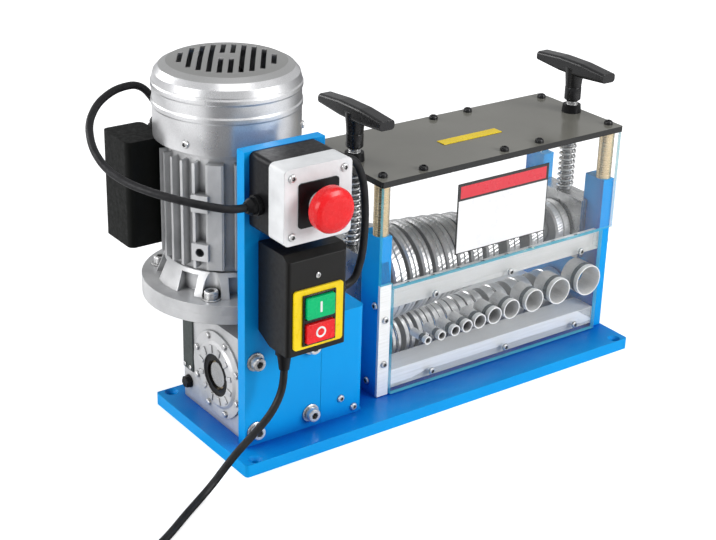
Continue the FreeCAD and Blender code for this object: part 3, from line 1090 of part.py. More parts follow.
def plug_ring(along_way, share):
    """One rounded section of the plug's body."""
    wide, tall = half_wide * share, half_tall * share
    corner = PLUG_CORNER * tall
    lines = []
    turns = [(wide - corner, tall), (wide, tall - corner), (wide, corner - tall), (wide - corner, -tall),
             (corner - wide, -tall), (-wide, corner - tall), (-wide, tall - corner), (corner - wide, tall)]
    spots = [Vector(along_way, u, v) for u, v in turns]
    for k in range(8):
        lines.append(Part.LineSegment(spots[k], spots[(k + 1) % 8]).toShape())
    return Part.Wire(lines)


plug_long = number("plug_long")
plug_solid = Part.makeLoft([plug_ring(plug_long * where, share) for where, share in PLUG_SECTIONS],
                           True, True)
plug_body = feature("plug_moulding", plug_solid)
plug_body.Placement = plug_place
node("plug_body", plug_body)
pin_long, pin_wide, pin_thick = number("pin_long"), number("pin_wide"), number("pin_thick")
pins = [Part.makeBox(pin_long, pin_thick, pin_wide,
                     Vector(plug_long, side * number("pin_pitch") / 2 - pin_thick / 2, -pin_wide / 2))
        for side in (-1, 1)]
plug_pins = feature("plug_pin_pair", Part.makeCompound(pins))
plug_pins.Placement = plug_place
node("plug_pins", plug_pins)

# Head frames: a plate with a slot for the bearing block and a bore for the lower bearing.
HEAD_SIDES = (("left", "head_left_x", FRAME_IN_LEFT), ("right", FRAME_IN_RIGHT, "head_right_x"))
BAR_ENDS = [("head_front_y + bar_deep / 2", "bar_screw_z"), (f"{HEAD_BACK} - bar_deep / 2", "bar_screw_z"),
            ("head_front_y + sill_deep / 2", "sill_screw_z"),
            (f"{HEAD_BACK} - sill_deep / 2", "sill_screw_z")]
for side, low, high in HEAD_SIDES:
    corners = [("head_front_y", "base_thick"), (HEAD_BACK, "base_thick"), (HEAD_BACK, "post_top_z"),
               (f"{LOWER_Y} + slot_half", "post_top_z"), (f"{LOWER_Y} + slot_half", "slot_floor_z"),
               (f"{LOWER_Y} - slot_half", "slot_floor_z"), (f"{LOWER_Y} - slot_half", "post_top_z"),
               ("head_front_y", "post_top_z")]
    plate = pad(f"{side}_frame_plate", "YZ_Plane", corners, low, high)
    tools = [rod(f"{side}_frame_bore", "x", (LOWER_Y, LOWER_Z), (f"{low} - cut_over", f"{high} + cut_over"),
                 "bearing_radius")]
    tools += [rod(f"{side}_frame_tap_{j}", "z",
                  (f"({low} + {high}) / 2", f"{LOWER_Y} + {j} * foot_pitch_y / 2"),
                  ("base_thick - cut_over", "base_thick + foot_bolt_depth"), "bolt_radius")
              for j in (-1, 1)]
    face = ("head_left_x - cut_over", "head_left_x + screw_length")
    if side == "right":
        face = ("head_right_x - screw_length", "head_right_x + cut_over")
    tools += [rod(f"{side}_side_tap_{k}", "x", centre, face, "screw_radius")
              for k, centre in enumerate(BAR_ENDS)]
    node(f"{side}_frame", cut(f"{side}_frame_bored", plate, *tools))

# Lower bearings in the frames.
lower_bearings = []
for side, low, high in HEAD_SIDES:
    middle = f"({low} + {high}) / 2"
    lower_bearings.append(bearing(f"lower_bearing_{side}", "x", (LOWER_Y, LOWER_Z),
                                  f"{middle} - bearing_width / 2", f"{middle} + bearing_width / 2",
                                  "journal_radius + fit_gap", "bearing_radius"))
motor_bearings = [
    bearing("motor_bearing_low", "z", MOTOR_AT, FLANGE_TOP, f"{FLANGE_TOP} + motor_bearing_width",
            "motor_shaft_radius + fit_gap", "motor_bearing_radius"),
    bearing("motor_bearing_high", "z", MOTOR_AT, f"{end_high} - end_web - motor_bearing_width",
            f"{end_high} - end_web", "motor_shaft_radius + fit_gap", "motor_bearing_radius"),
]
node("fixed_bearings", group("fixed_bearing_group", *gear_bearings, *lower_bearings, *motor_bearings))

# Tie bars between the frames, two in front and two behind, and the strip on the left frame's edge.
bar_x = (FRAME_IN_LEFT, FRAME_IN_RIGHT)
bar_z = ("bar_low_z", "bar_low_z + bar_tall")
sill_z = ("sill_low_z", "sill_low_z + sill_tall")
strip_y = ("head_front_y - strip_thick", "head_front_y")
STRIP_SCREWS = [("head_left_x + frame_thick / 2", z) for z in ("strip_screw_z", "strip_screw_low_z")]
bars = [
    box("front_bar", bar_x, ("head_front_y", "head_front_y + bar_deep"), bar_z),
    box("rear_bar", bar_x, (f"{HEAD_BACK} - bar_deep", HEAD_BACK), bar_z),
    box("front_sill", bar_x, ("head_front_y", "head_front_y + sill_deep"), sill_z),
    box("rear_sill", bar_x, (f"{HEAD_BACK} - sill_deep", HEAD_BACK), sill_z),
    cut("edge_strip", box("edge_strip_bar", ("head_left_x", f"{FRAME_IN_LEFT} - panel_gap"), strip_y,
                          ("panel_low_z", "panel_high_z + strip_over")),
        *[rod(f"strip_drill_{k}", "y", centre, (f"{strip_y[0]} - cut_over", f"{strip_y[1]} + cut_over"),
              "screw_radius") for k, centre in enumerate(STRIP_SCREWS)]),
]
node("aluminium_bars", group("bar_group", *bars))

# Feed channels: one guide tube each, all standing on one feed height.
channel_x = ["channel_start_x"]
for k in range(1, CHANNELS):
    channel_x.append(f"{channel_x[-1]} + channel_pitch_{k}")
tube_radius = []
for k in range(CHANNELS):
    tube_radius.append(f"(tube_radius_small * (tube_radius_large / tube_radius_small)"
                       f"^({k} / {CHANNELS - 1}))")
tubes, panel_holes = [], []
for k in range(CHANNELS):
    centre = (channel_x[k], f"feed_height_z + {tube_radius[k]}")
    shell = rod(f"tube_shell_{k}", "y", centre, ("tube_front_y", "tube_back_y"), tube_radius[k])
    bore = rod(f"tube_bore_{k}", "y", centre, ("tube_front_y - cut_over", "tube_back_y + cut_over"),
               f"{tube_radius[k]} - tube_wall")
    tubes.append(cut(f"guide_tube_{k}", shell, bore))
    panel_holes.append(rod(f"panel_hole_{k}", "y", centre, ("head_front_y - panel_thick - cut_over",
                           "head_front_y + cut_over"), f"{tube_radius[k]} + fit_gap"))
node("guide_tubes", group("tube_group", *tubes))

# Clear front panel in front of the bars, with a hole for each tube.
panel_y = ("head_front_y - panel_thick", "head_front_y")
panel_x = (f"{FRAME_IN_LEFT} + panel_gap", FRAME_IN_RIGHT)
BAR_SCREWS = [(f"bar_screw_x + {k} * bar_screw_pitch", z) for z in ("bar_screw_z", "sill_screw_z")
              for k in range(3)]
panel_drill = [rod(f"panel_drill_{k}", "y", centre, (f"{panel_y[0]} - cut_over", f"{panel_y[1]} + cut_over"),
                   "screw_radius") for k, centre in enumerate(BAR_SCREWS)]
panel_block = box("panel_block", panel_x, panel_y, ("panel_low_z", "panel_high_z"))
node("front_panel", cut("panel_open", panel_block, *panel_holes, *panel_drill))

# Clear guards above the panel, in front of and behind the rollers.
guard_span = ("head_left_x", "head_right_x")
guard_up = ("panel_high_z + guard_rise", PLATE_LOW)
strip_top = "(panel_high_z + strip_over + guard_rise)"
front_guard = pad("front_guard", "XZ_Plane", [
    (FRAME_IN_LEFT, guard_up[0]), (guard_span[1], guard_up[0]), (guard_span[1], guard_up[1]),
    (guard_span[0], guard_up[1]), (guard_span[0], strip_top), (FRAME_IN_LEFT, strip_top)],
    "head_front_y - guard_clear", "head_front_y")
rear_guard = box("rear_guard", guard_span, (HEAD_BACK, f"{HEAD_BACK} + guard_clear"),
                 ("bar_low_z", PLATE_LOW))
node("clear_guards", group("guard_pair", front_guard, rear_guard))
node("sign_plate", box("sign_block", halves("sign_x", "sign_wide"),
                       ("head_front_y - guard_clear - sign_thick", "head_front_y - guard_clear"),
                       ("sign_low_z", "sign_low_z + sign_tall")))

# Pillars on the frames' posts, the top plate on the pillars, and the bushes of the two screws.
PILLARS = [(x, y) for x in ("head_left_x + frame_thick / 2", "head_right_x - frame_thick / 2")
           for y in ("head_front_y + pillar_inset_y", f"{HEAD_BACK} - pillar_inset_y")]
node("pillars", group("pillar_group", *[rod(f"pillar_{k}", "z", centre, ("post_top_z", PLATE_LOW),
                                            "pillar_radius") for k, centre in enumerate(PILLARS)]))
top_x = ("head_left_x - plate_over", "head_right_x + plate_over")
top_y = ("head_front_y - guard_clear", f"{HEAD_BACK} + guard_clear")
top_block = rounded_box("top_block", top_x, top_y, (PLATE_LOW, "plate_top_z"), "plate_round", "z")
PLATE_SCREWS = PILLARS + [(f"head_left_x + plate_screw_{share}", y) for share in ("left", "middle", "right")
                          for y in ("head_front_y + plate_screw_inset", f"{HEAD_BACK} - plate_screw_inset")]
through_plate = (f"{PLATE_LOW} - cut_over", "plate_top_z + cut_over")
top_drill = [rod(f"top_drill_{k}", "z", centre, through_plate, "screw_radius")
             for k, centre in enumerate(PLATE_SCREWS)]
top_pass = [rod(f"top_pass_{k}", "z", (x, LOWER_Y), through_plate, "bush_neck")
            for k, x in enumerate(BLOCK_X)]
node("top_plate", cut("top_drilled", top_block, *top_drill, *top_pass))
bushes = []
for k, x in enumerate(BLOCK_X):
    bushes.append(turned(f"screw_bush_{k}", "z", (x, LOWER_Y), [
        (f"{PLATE_LOW}", "thread_radius + fit_gap"), (f"{PLATE_LOW}", "bush_neck"),
        ("plate_top_z", "bush_neck"), ("plate_top_z", "bush_radius"),
        ("plate_top_z + bush_tall", "bush_radius - bush_taper"),
        ("plate_top_z + bush_tall", "thread_radius + fit_gap")]))
node("screw_bushes", group("bush_pair", *bushes))
node("plate_screws", group("plate_screw_group", *[
    screw(f"plate_screw_{k}", "z", centre, "plate_top_z", 1,
          head=("plate_screw_radius", "plate_screw_tall"), shank=("screw_radius", "plate_thick"))
    for k, centre in enumerate(PLATE_SCREWS)]))

# Pressure screws and their T-handles: each screw turns in its bush and lifts or lowers its block.
grip_y = halves(LOWER_Y, "grip_long")
for side, x in zip(("left", "right"), BLOCK_X):
    spindle = turned(f"{side}_spindle", "z", (x, LOWER_Y), [
        ("thread_low_z", "0"), ("grip_z - spindle_end", "0"), ("grip_z - spindle_end", "spindle_neck_radius"),
        ("hub_low_z", "spindle_neck_radius"), ("hub_low_z", "thread_radius"),
        ("thread_low_z + thread_chamfer", "thread_radius"),
        ("thread_low_z", "thread_radius - thread_chamfer")])
    node(f"screw_{side}", spindle)
    wide, tall = "grip_wide / 2", "grip_tall / 2"
    bar = pad(f"{side}_grip_bar", "YZ_Plane", [
        (grip_y[0], f"grip_z - {tall} * grip_end"), (f"{LOWER_Y} - grip_middle", f"grip_z - {tall}"),
        (f"{LOWER_Y} + grip_middle", f"grip_z - {tall}"), (grip_y[1], f"grip_z - {tall} * grip_end"),
        (grip_y[1], f"grip_z + {tall} * grip_end"), (f"{LOWER_Y} + grip_middle", f"grip_z + {tall}"),
        (f"{LOWER_Y} - grip_middle", f"grip_z + {tall}"), (grip_y[0], f"grip_z + {tall} * grip_end")],
        f"{x} - {wide}", f"{x} + {wide}")
    bar = rounded(bar, "grip_round", lambda edge: edge.Length > number("grip_wide + grip_round"))
    hub = rod(f"{side}_grip_hub", "z", (x, LOWER_Y), ("hub_low_z", "grip_z"), "hub_radius - hub_taper",
              "hub_radius + hub_taper")
    hole = rod(f"{side}_grip_hole", "z", (x, LOWER_Y), ("hub_low_z - cut_over", "grip_z - spindle_end"),
               "spindle_neck_radius")
    node(f"handle_{side}", cut(f"{side}_grip_bored", fuse(f"{side}_grip_solid", bar, hub), hole))

# Bearing blocks: a slider in each frame's slot with a wider flange on the inner side.
block_solids, block_rings = [], []
for side, x, sign in (("left", "head_left_x", 1), ("right", "head_right_x", -1)):
    def outward(text):
        return f"{x} + {sign} * ({text})"
    def span(low, high):
        ends = (outward(low), outward(high))
        return ends if sign > 0 else ends[::-1]
    slider = box(f"{side}_slider", span("0", "frame_thick"),
                 (f"{LOWER_Y} - slot_half + block_gap", f"{LOWER_Y} + slot_half - block_gap"),
                 ("block_low_z", "block_top_z"))
    flange = box(f"{side}_slider_flange", span("frame_thick + block_gap", "frame_thick + block_flange"),
                 (f"{LOWER_Y} - slot_half - block_lip", f"{LOWER_Y} + slot_half + block_lip"),
                 ("block_low_z", "block_top_z"))
    web = box(f"{side}_slider_web", span("frame_thick - block_web", "frame_thick + block_web"),
              (f"{LOWER_Y} - slot_half + block_gap", f"{LOWER_Y} + slot_half - block_gap"),
              ("block_low_z", "block_top_z"))
    seat = rod(f"{side}_block_seat", "x", (LOWER_Y, "upper_shaft_z"),
               span("seat_start", "seat_start + bearing_width + 2 * seat_play"), "bearing_radius")
    through = rod(f"{side}_block_through", "x", (LOWER_Y, "upper_shaft_z"),
                  span("block_skin", "frame_thick + block_flange + cut_over"),
                  "journal_radius + journal_room")
    thread = rod(f"{side}_block_thread", "z", (BLOCK_X[0] if sign > 0 else BLOCK_X[1], LOWER_Y),
                 ("thread_low_z - fit_gap", "block_top_z + cut_over"), "thread_radius + fit_gap")
    block_solids.append(cut(f"{side}_block", fuse(f"{side}_block_cast", slider, web, flange), seat,
                            through, thread))
    ends = span("seat_start + seat_play", "seat_start + seat_play + bearing_width")
    block_rings.append(bearing(f"{side}_block_bearing", "x", (LOWER_Y, "upper_shaft_z"), *ends,
                               "journal_radius + fit_gap", "bearing_radius"))
node("bearing_blocks", group("block_pair", *block_solids))
node("block_bearings", group("block_bearing_pair", *block_rings))


def spring(name, x):
    """A compression spring round a screw, from the block's top to the plate's underside."""
    wire, mean, turns = number("spring_wire"), number("spring_mean"), number("spring_turns")
    low = number("block_top_z + spring_wire + spring_gap")
    high = number(f"{PLATE_LOW} - spring_wire - spring_gap")
    pitch = (high - low) / turns
    middle = Vector(number(x), number(LOWER_Y), 0)
    def at(turn):
        angle = 2 * math.pi * turn
        return middle + Vector(mean * math.cos(angle), mean * math.sin(angle), low + pitch * turn)
    def way(turn):
        angle = 2 * math.pi * turn
        return Vector(-mean * math.sin(angle), mean * math.cos(angle), pitch / (2 * math.pi)).normalize()
    edges = []
    for k in range(int(turns * 4)):
        edges += biarc(at(k / 4), way(k / 4), at((k + 1) / 4), way((k + 1) / 4))
    print(f"{name}: least gap {pitch - 2 * wire:.2f}")
    return feature(name, tube(edges, at(0), way(0), wire))


node("pressure_springs", group("spring_pair", spring("left_spring", BLOCK_X[0]),
                               spring("right_spring", BLOCK_X[1])))

# Upper shaft with a thick middle and a journal at each end.
upper_x = ("head_left_x + shaft_inset", "head_right_x - shaft_inset")
core_x = (f"{FRAME_IN_LEFT} + block_flange + core_gap", f"{FRAME_IN_RIGHT} - block_flange - core_gap")
node("upper_shaft", turned("upper_turned", "x", (LOWER_Y, "upper_shaft_z"), [
    (upper_x[0], "0"), (upper_x[1], "0"), (upper_x[1], "journal_radius"),
    (core_x[1], "journal_radius"), (core_x[1], "upper_core_radius"),
    (core_x[0], "upper_core_radius"), (core_x[0], "journal_radius"), (upper_x[0], "journal_radius")]))


def ring_roller(name, centre, low, high, outer, inner):
    """A roller with bevelled rims and a shallow groove round its middle."""
    middle = f"(({low}) + ({high})) / 2"
    bevel, groove = "roller_chamfer", "roller_groove"
    return turned(name, "x", centre, [
        (low, inner), (high, inner), (high, f"{outer} - {bevel}"), (f"{high} - {bevel}", outer),
        (f"{middle} + {groove}", outer), (middle, f"{outer} - {groove}"),
        (f"{middle} - {groove}", outer), (f"{low} + {bevel}", outer), (low, f"{outer} - {bevel}")])


# Pressure rollers: each leaves the height of its channel's cable above the blades.
rollers = [ring_roller("upper_drum", (LOWER_Y, "upper_shaft_z"), "upper_drum_left_x",
                       "channel_start_x - channel_pitch_1 / 2 - upper_drum_gap",
                       "upper_shaft_z - feed_height_z - upper_drum_lift", "upper_core_radius")]
for k in range(CHANNELS):
    wide = f"(roller_wide + roller_wide_rate * {tube_radius[k]})"
    reach = f"(upper_shaft_z - feed_height_z - roller_lift - cable_share * ({tube_radius[k]} - tube_wall))"
    rollers.append(ring_roller(f"upper_roller_{k}", (LOWER_Y, "upper_shaft_z"),
                               *halves(channel_x[k], wide), reach, "upper_core_radius"))
node("pressure_rollers", group("roller_group", *rollers))

# Lower shaft: from the spur gear through both frames.
lower_x = (f"{spur_x[0]} - shaft_over", "head_right_x - shaft_end_inset")
wide_x = (f"{FRAME_IN_LEFT} + core_gap", f"{FRAME_IN_RIGHT} - core_gap")
node("lower_shaft", turned("lower_turned", "x", (LOWER_Y, LOWER_Z), [
    (lower_x[0], "0"), (lower_x[1], "0"), (lower_x[1], "journal_radius"),
    (wide_x[1], "journal_radius"), (wide_x[1], "lower_shaft_radius"),
    (wide_x[0], "lower_shaft_radius"), (wide_x[0], "journal_radius"), (lower_x[0], "journal_radius")]))

# Feed rings on both sides of each blade, and a wide drum for flat cable at the left.
rings = [ring_roller("lower_drum", (LOWER_Y, LOWER_Z), "drum_left_x", "drum_left_x + drum_width",
                     "wheel_ring_radius", "lower_shaft_radius")]
blades = []
for k in range(CHANNELS):
    wide = f"(ring_wide + ring_wide_rate * {tube_radius[k]})"
    low, high = halves(channel_x[k], wide)
    blade = halves(channel_x[k], "blade_thick")
    for half, span_low, span_high in (("a", low, blade[0]), ("b", blade[1], high)):
        rings.append(turned(f"feed_ring_{k}_{half}", "x", (LOWER_Y, LOWER_Z), [
            (span_low, "lower_shaft_radius"), (span_high, "lower_shaft_radius"),
            (span_high, "wheel_ring_radius"), (span_low, "wheel_ring_radius")]))
    edge = halves(channel_x[k], "blade_edge")
    blades.append(turned(f"ring_blade_{k}", "x", (LOWER_Y, LOWER_Z), [
        (blade[0], "lower_shaft_radius"), (blade[1], "lower_shaft_radius"),
        (blade[1], "blade_radius - blade_bevel"), (edge[1], "blade_radius"), (edge[0], "blade_radius"),
        (blade[0], "blade_radius - blade_bevel")]))
node("feed_wheels", group("ring_group", *rings))
node("ring_blades", group("blade_group", *blades))

# Bolts of the gearbox, of the flanges and of the gearbox's feet.
BIG_HEAD = ("bolt_head_radius", "bolt_head_tall")
bolts = []
for k, centre in enumerate(GEAR_BOLTS):
    bolts.append(screw(f"gear_bolt_{k}", "y", centre, "bracket_front_y", -1, head=BIG_HEAD,
                       shank=("bolt_radius", "bracket_sheet + gear_bolt_depth"), socket="bolt_socket"))
for k, centre in enumerate(FLANGE_BOLTS):
    bolts.append(screw(f"flange_bolt_{k}", "z", centre, FLANGE_TOP, 1, head=BIG_HEAD,
                       shank=("bolt_radius", "motor_flange_thick + gear_flange_thick"),
                       socket="bolt_socket"))
for k, centre in enumerate(FOOT_HOLES):
    bolts.append(screw(f"foot_bolt_{k}", "z", centre, "bolt_head_tall + bolt_room", -1, head=BIG_HEAD,
                       shank=("bolt_radius", "base_thick - bolt_head_tall - bolt_room + foot_bolt_depth"),
                       socket="bolt_socket"))
node("mount_bolts", group("bolt_group", *bolts))

# Small screws of the emergency stop's cover, the cowl, the guard, the panel and the edge strip.
small = [screw(f"estop_screw_{k}", "y", centre, ESTOP_FRONT, -1)
         for k, centre in enumerate(ESTOP_SCREWS)]
small += [screw(f"panel_screw_{k}", "y", centre, panel_y[0], -1,
                shank=("screw_radius", "panel_thick")) for k, centre in enumerate(BAR_SCREWS)]
small += [screw(f"guard_screw_{k}", "y", centre, "bracket_front_y", -1)
          for k, centre in enumerate(GUARD_SCREWS)]
small += [screw(f"strip_screw_{k}", "y", centre, strip_y[0], -1, shank=("screw_radius", "strip_thick"))
          for k, centre in enumerate(STRIP_SCREWS)]
small += [screw(f"side_screw_{k}_{side}", "x", centre, face, side)
          for k, centre in enumerate(BAR_ENDS) for side, face in ((-1, "head_left_x"), (1, "head_right_x"))]
for k, turn in enumerate(COWL_TURNS):
    small.append(fuse(f"cowl_screw_{k}", radial(f"cowl_screw_stem_{k}", MOTOR_AT, turn,
                      ("cowl_radius - cowl_screw_in", "cowl_radius"), "screw_radius", COWL_SCREW_Z),
                      radial(f"cowl_screw_head_{k}", MOTOR_AT, turn, ("cowl_radius",
                      "cowl_radius + screw_head_tall"), "screw_head_radius", COWL_SCREW_Z)))
node("small_screws", group("small_group", *small))

doc.recompute()
os.makedirs("parts", exist_ok=True)
faults = [f"{item.Name}: {item.State}" for item in doc.Objects
          if "Invalid" in item.State or "Error" in item.State]
for label, item in parts.items():
    if item.Shape.isNull() or not item.Shape.isValid():
        faults.append(f"{label}: no valid shape")
if faults:
    raise RuntimeError("; ".join(faults))
for label, item in parts.items():
    item.Shape.exportStep(f"parts/{label}.step")
print(f"{len(parts)} nodes, {sum(len(item.Shape.Solids) for item in parts.values())} solids")
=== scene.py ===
import math

import bmesh
import bpy
from mathutils import Matrix, Vector


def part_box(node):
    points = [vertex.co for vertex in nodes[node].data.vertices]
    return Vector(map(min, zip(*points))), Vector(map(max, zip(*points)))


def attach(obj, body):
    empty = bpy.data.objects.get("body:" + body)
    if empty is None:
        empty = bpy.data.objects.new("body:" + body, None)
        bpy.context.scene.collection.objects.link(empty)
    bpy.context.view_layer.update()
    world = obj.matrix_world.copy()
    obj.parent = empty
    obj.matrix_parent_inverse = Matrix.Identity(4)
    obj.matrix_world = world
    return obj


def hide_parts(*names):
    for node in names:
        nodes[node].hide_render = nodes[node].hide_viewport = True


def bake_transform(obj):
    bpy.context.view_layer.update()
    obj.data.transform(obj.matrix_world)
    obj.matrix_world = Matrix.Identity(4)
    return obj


MM = 0.001
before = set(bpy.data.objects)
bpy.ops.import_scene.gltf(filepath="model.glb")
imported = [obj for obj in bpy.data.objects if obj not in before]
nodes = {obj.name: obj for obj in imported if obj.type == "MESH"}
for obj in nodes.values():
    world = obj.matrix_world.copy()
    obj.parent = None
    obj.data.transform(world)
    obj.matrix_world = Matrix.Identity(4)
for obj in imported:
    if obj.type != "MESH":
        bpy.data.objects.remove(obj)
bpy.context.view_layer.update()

# Camera: the place and turn that fit the photograph, and its focal length in pixels.
PHOTO_WIDTH = 716
CAMERA_AZIMUTH, CAMERA_ELEVATION, CAMERA_ROLL = -36.42, 24.21, 1.65
CAMERA_PLACE = Vector((-869.5, -1099.8, 744.1)) * MM
CAMERA_FOCAL = 1568.4

# Studio: each lamp's name, place, size and power, and the point that all of them look at.
LAMPS = (("left_box", (-2.4, 0.2, 1.1), 1.1, 30), ("right_box", (1.25, -2.25, 1.3), 1.2, 52),
         ("top_box", (-0.2, -0.6, 2.6), 1.6, 14), ("back_box", (-1.3, 2.1, 1.2), 1.0, 16))
LAMP_TARGET = Vector((0, 0, 0.15))
# The world's light on the machine, and the share of its white that reflections show.
WORLD_LIGHT, WORLD_SHINE = 0.3, 0.35
# The floor reaches this far each way. Its own whiteness near the machine grows to 1 between two distances.
FLOOR_HALF = 9
FLOOR_WHITE, WHITE_FROM, WHITE_AT = 0.5, 0.7, 2.5
# Black cloths on the floor that only reflections show: the middle that they lie round, the colour, and
# for each the way that it lies and the cosines between which it darkens.
CLOTH_MIDDLE, CLOTH_BLACK = (-0.18, 0.04), (0.08, 0.08, 0.085)
CLOTHS = ((-0.59, -0.81, 0.84, 0.97), (0.915, 0.404, 0.75, 0.95))

# Screws: the directions that a head can face, which are the axes and outwards from the cowl.
MAIN_WAYS = [Vector(way) for way in ((1, 0, 0), (-1, 0, 0), (0, 1, 0), (0, -1, 0), (0, 0, 1), (0, 0, -1))]
COWL_WAYS = [Vector((math.cos(math.radians(a)), math.sin(math.radians(a)), 0)) for a in (-34, 86, 206)]
# A head's rim as shares of its height and radius, its socket's shares, and a washer's heights and shares.
DOMED_RIM = ((0.45, 1), (0.82, 0.86), (1, 0.62))
STRAIGHT_RIM = ((0.86, 1), (1, 0.88))
SOCKET_WIDE, SOCKET_FLOOR_WIDE, SOCKET_FLOOR = 0.48, 0.46, 0.35
WASHER = ((0, 1.35), (0.9, 1.35), (1.2, 1.28))
# How points are told apart: as the same, as in one face, as on its rim, and how many a round rim has.
SAME_POINT, SAME_FACE, RIM_SHARE, RIM_POINTS = 1e-6, 1e-5, 0.97, 9


class Finish:
    """A procedural material whose colour, roughness and relief follow fields in the object's metres."""

    def __init__(self, name, color, roughness=0.5, metallic=0.0, edge=0.0, **sockets):
        self.material = bpy.data.materials.new(name)
        self.material.use_nodes = True
        self.tree = self.material.node_tree
        self.shader = self.tree.nodes["Principled BSDF"]
        self.place = self.tree.nodes.new("ShaderNodeTexCoord").outputs["Object"]
        self.relief = None
        self.shader.inputs["Base Color"].default_value = (*color, 1)
        self.shader.inputs["Roughness"].default_value = roughness
        self.shader.inputs["Metallic"].default_value = metallic
        for socket, value in sockets.items():
            self.shader.inputs[socket.replace("_", " ")].default_value = value
        if edge:
            soft = self.tree.nodes.new("ShaderNodeBevel")
            soft.samples = 4
            soft.inputs["Radius"].default_value = edge * MM
            self.relief = soft.outputs[0]
            self.tree.links.new(self.relief, self.shader.inputs["Normal"])

    def math(self, kind, first, second=0.0):
        """One step of arithmetic on fields or numbers."""
        step = self.tree.nodes.new("ShaderNodeMath")
        step.operation = kind
        for socket, value in zip(step.inputs, (first, second)):
            if isinstance(value, (int, float)):
                socket.default_value = value
            else:
                self.tree.links.new(value, socket)
        return step.outputs[0]

    def noise(self, scale, stretch=(1, 1, 1), detail=4.0):
        """Cloudy noise, drawn out along the axes that have small factors."""
        fit = self.tree.nodes.new("ShaderNodeMapping")
        fit.inputs["Scale"].default_value = stretch
        field = self.tree.nodes.new("ShaderNodeTexNoise")
        field.inputs["Scale"].default_value = scale
        field.inputs["Detail"].default_value = detail
        self.tree.links.new(self.place, fit.inputs["Vector"])
        self.tree.links.new(fit.outputs[0], field.inputs["Vector"])
        return field.outputs["Fac"]

    def cells(self, scale):
        """Rounded grains."""
        field = self.tree.nodes.new("ShaderNodeTexVoronoi")
        field.inputs["Scale"].default_value = scale
        self.tree.links.new(self.place, field.inputs["Vector"])
        return field.outputs["Distance"]

    def axes(self, source=None):
        """The three coordinates of a place or direction."""
        split = self.tree.nodes.new("ShaderNodeSeparateXYZ")
        self.tree.links.new(source or self.place, split.inputs[0])
        return split.outputs

    def normal(self):
        """The surface's own direction."""
        return self.tree.nodes.new("ShaderNodeTexCoord").outputs["Normal"]

    def spread(self, field, low, high, start=0.3, end=0.7):
        """A field turned into a value between two limits."""
        fit = self.tree.nodes.new("ShaderNodeMapRange")
        for index, value in enumerate((start, end, low, high), start=1):
            fit.inputs[index].default_value = value
        self.tree.links.new(field, fit.inputs[0])
        return fit.outputs[0]

    def tint(self, field, low, high, start=0.3, end=0.7):
        """Colour the surface between two shades along a field."""
        ramp = self.tree.nodes.new("ShaderNodeValToRGB")
        first, last = ramp.color_ramp.elements
        first.position, first.color = start, (*low, 1)
        last.position, last.color = end, (*high, 1)
        self.tree.links.new(field, ramp.inputs[0])
        self.tree.links.new(ramp.outputs[0], self.shader.inputs["Base Color"])
        return ramp.outputs[0]

    def over(self, mask, under, upper):
        """Paint a second colour where a mask is 1."""
        mix = self.tree.nodes.new("ShaderNodeMix")
        mix.data_type = "RGBA"
        for index, value in ((6, under), (7, upper)):
            if isinstance(value, tuple):
                mix.inputs[index].default_value = (*value, 1)
            else:
                self.tree.links.new(value, mix.inputs[index])
        self.tree.links.new(mask, mix.inputs[0])
        self.tree.links.new(mix.outputs[2], self.shader.inputs["Base Color"])
        return mix.outputs[2]

    def rough(self, field, low, high):
        """Vary the roughness along a field."""
        self.tree.links.new(self.spread(field, low, high), self.shader.inputs["Roughness"])

    def bump(self, field, depth, strength=1.0):
        """Raise the surface along a field by a depth in millimetres."""
        raised = self.tree.nodes.new("ShaderNodeBump")
        raised.inputs["Distance"].default_value = depth * MM
        raised.inputs["Strength"].default_value = strength
        self.tree.links.new(field, raised.inputs["Height"])
        if self.relief:
            self.tree.links.new(self.relief, raised.inputs["Normal"])
        self.relief = raised.outputs[0]
        self.tree.links.new(self.relief, self.shader.inputs["Normal"])

    def painted_shade_mask(self, reach, start=0.45, end=0.95):
        """Painted shade mask: 1 in corners and pockets that lie close to other faces, 0 on open ones."""
        open_sky = self.tree.nodes.new("ShaderNodeAmbientOcclusion")
        open_sky.samples = 6
        open_sky.inputs["Distance"].default_value = reach * MM
        return self.spread(open_sky.outputs["AO"], 1.0, 0.0, start, end)

    def band(self, field, low, high):
        """1 where a field lies between two limits."""
        above, below = self.math("GREATER_THAN", field, low), self.math("LESS_THAN", field, high)
        return self.math("MULTIPLY", above, below)

    def edge_mask(self, radius):
        """1 on edges that a soft normal turns away from, 0 on flat faces."""
        soft = self.tree.nodes.new("ShaderNodeBevel")
        soft.samples = 4
        soft.inputs["Radius"].default_value = radius * MM
        flat = self.tree.nodes.new("ShaderNodeNewGeometry")
        meet = self.tree.nodes.new("ShaderNodeVectorMath")
        meet.operation = "DOT_PRODUCT"
        self.tree.links.new(soft.outputs[0], meet.inputs[0])
        self.tree.links.new(flat.outputs["True Normal"], meet.inputs[1])
        return self.spread(meet.outputs["Value"], 1.0, 0.0, 0.75, 0.99)


def blue_paint(name="blue_enamel", reach=26, start=0.3, facing=None):
    """Blue enamel with a slight orange peel, painted highlights on its edges and painted shade in corners
    and pockets, on all faces or those facing an axis.
    """
    paint = Finish(name, (0.001, 0.31, 0.84), 0.36, edge=0.7, Specular_IOR_Level=0.14)
    cloud = paint.tint(paint.noise(9), (0.001, 0.31, 0.77), (0.001, 0.36, 0.84))
    # Painted highlight: a paler blue on the edges.
    edge_highlit = paint.over(paint.edge_mask(0.8), cloud, (0.01, 0.48, 0.95))
    # Painted shade: a deep navy in corners and pockets, on all faces or only on those facing the given axis.
    nook_shade = paint.painted_shade_mask(reach, start, start + 0.5)
    if facing is not None:
        nook_shade = paint.math("MULTIPLY", nook_shade, paint.math("ABSOLUTE", paint.axes(paint.normal())[facing]))
    paint.over(nook_shade, edge_highlit, (0.001, 0.06, 0.4))
    paint.rough(paint.noise(60), 0.3, 0.44)
    paint.bump(paint.noise(700, detail=2), 0.05, 0.5)
    return paint.material


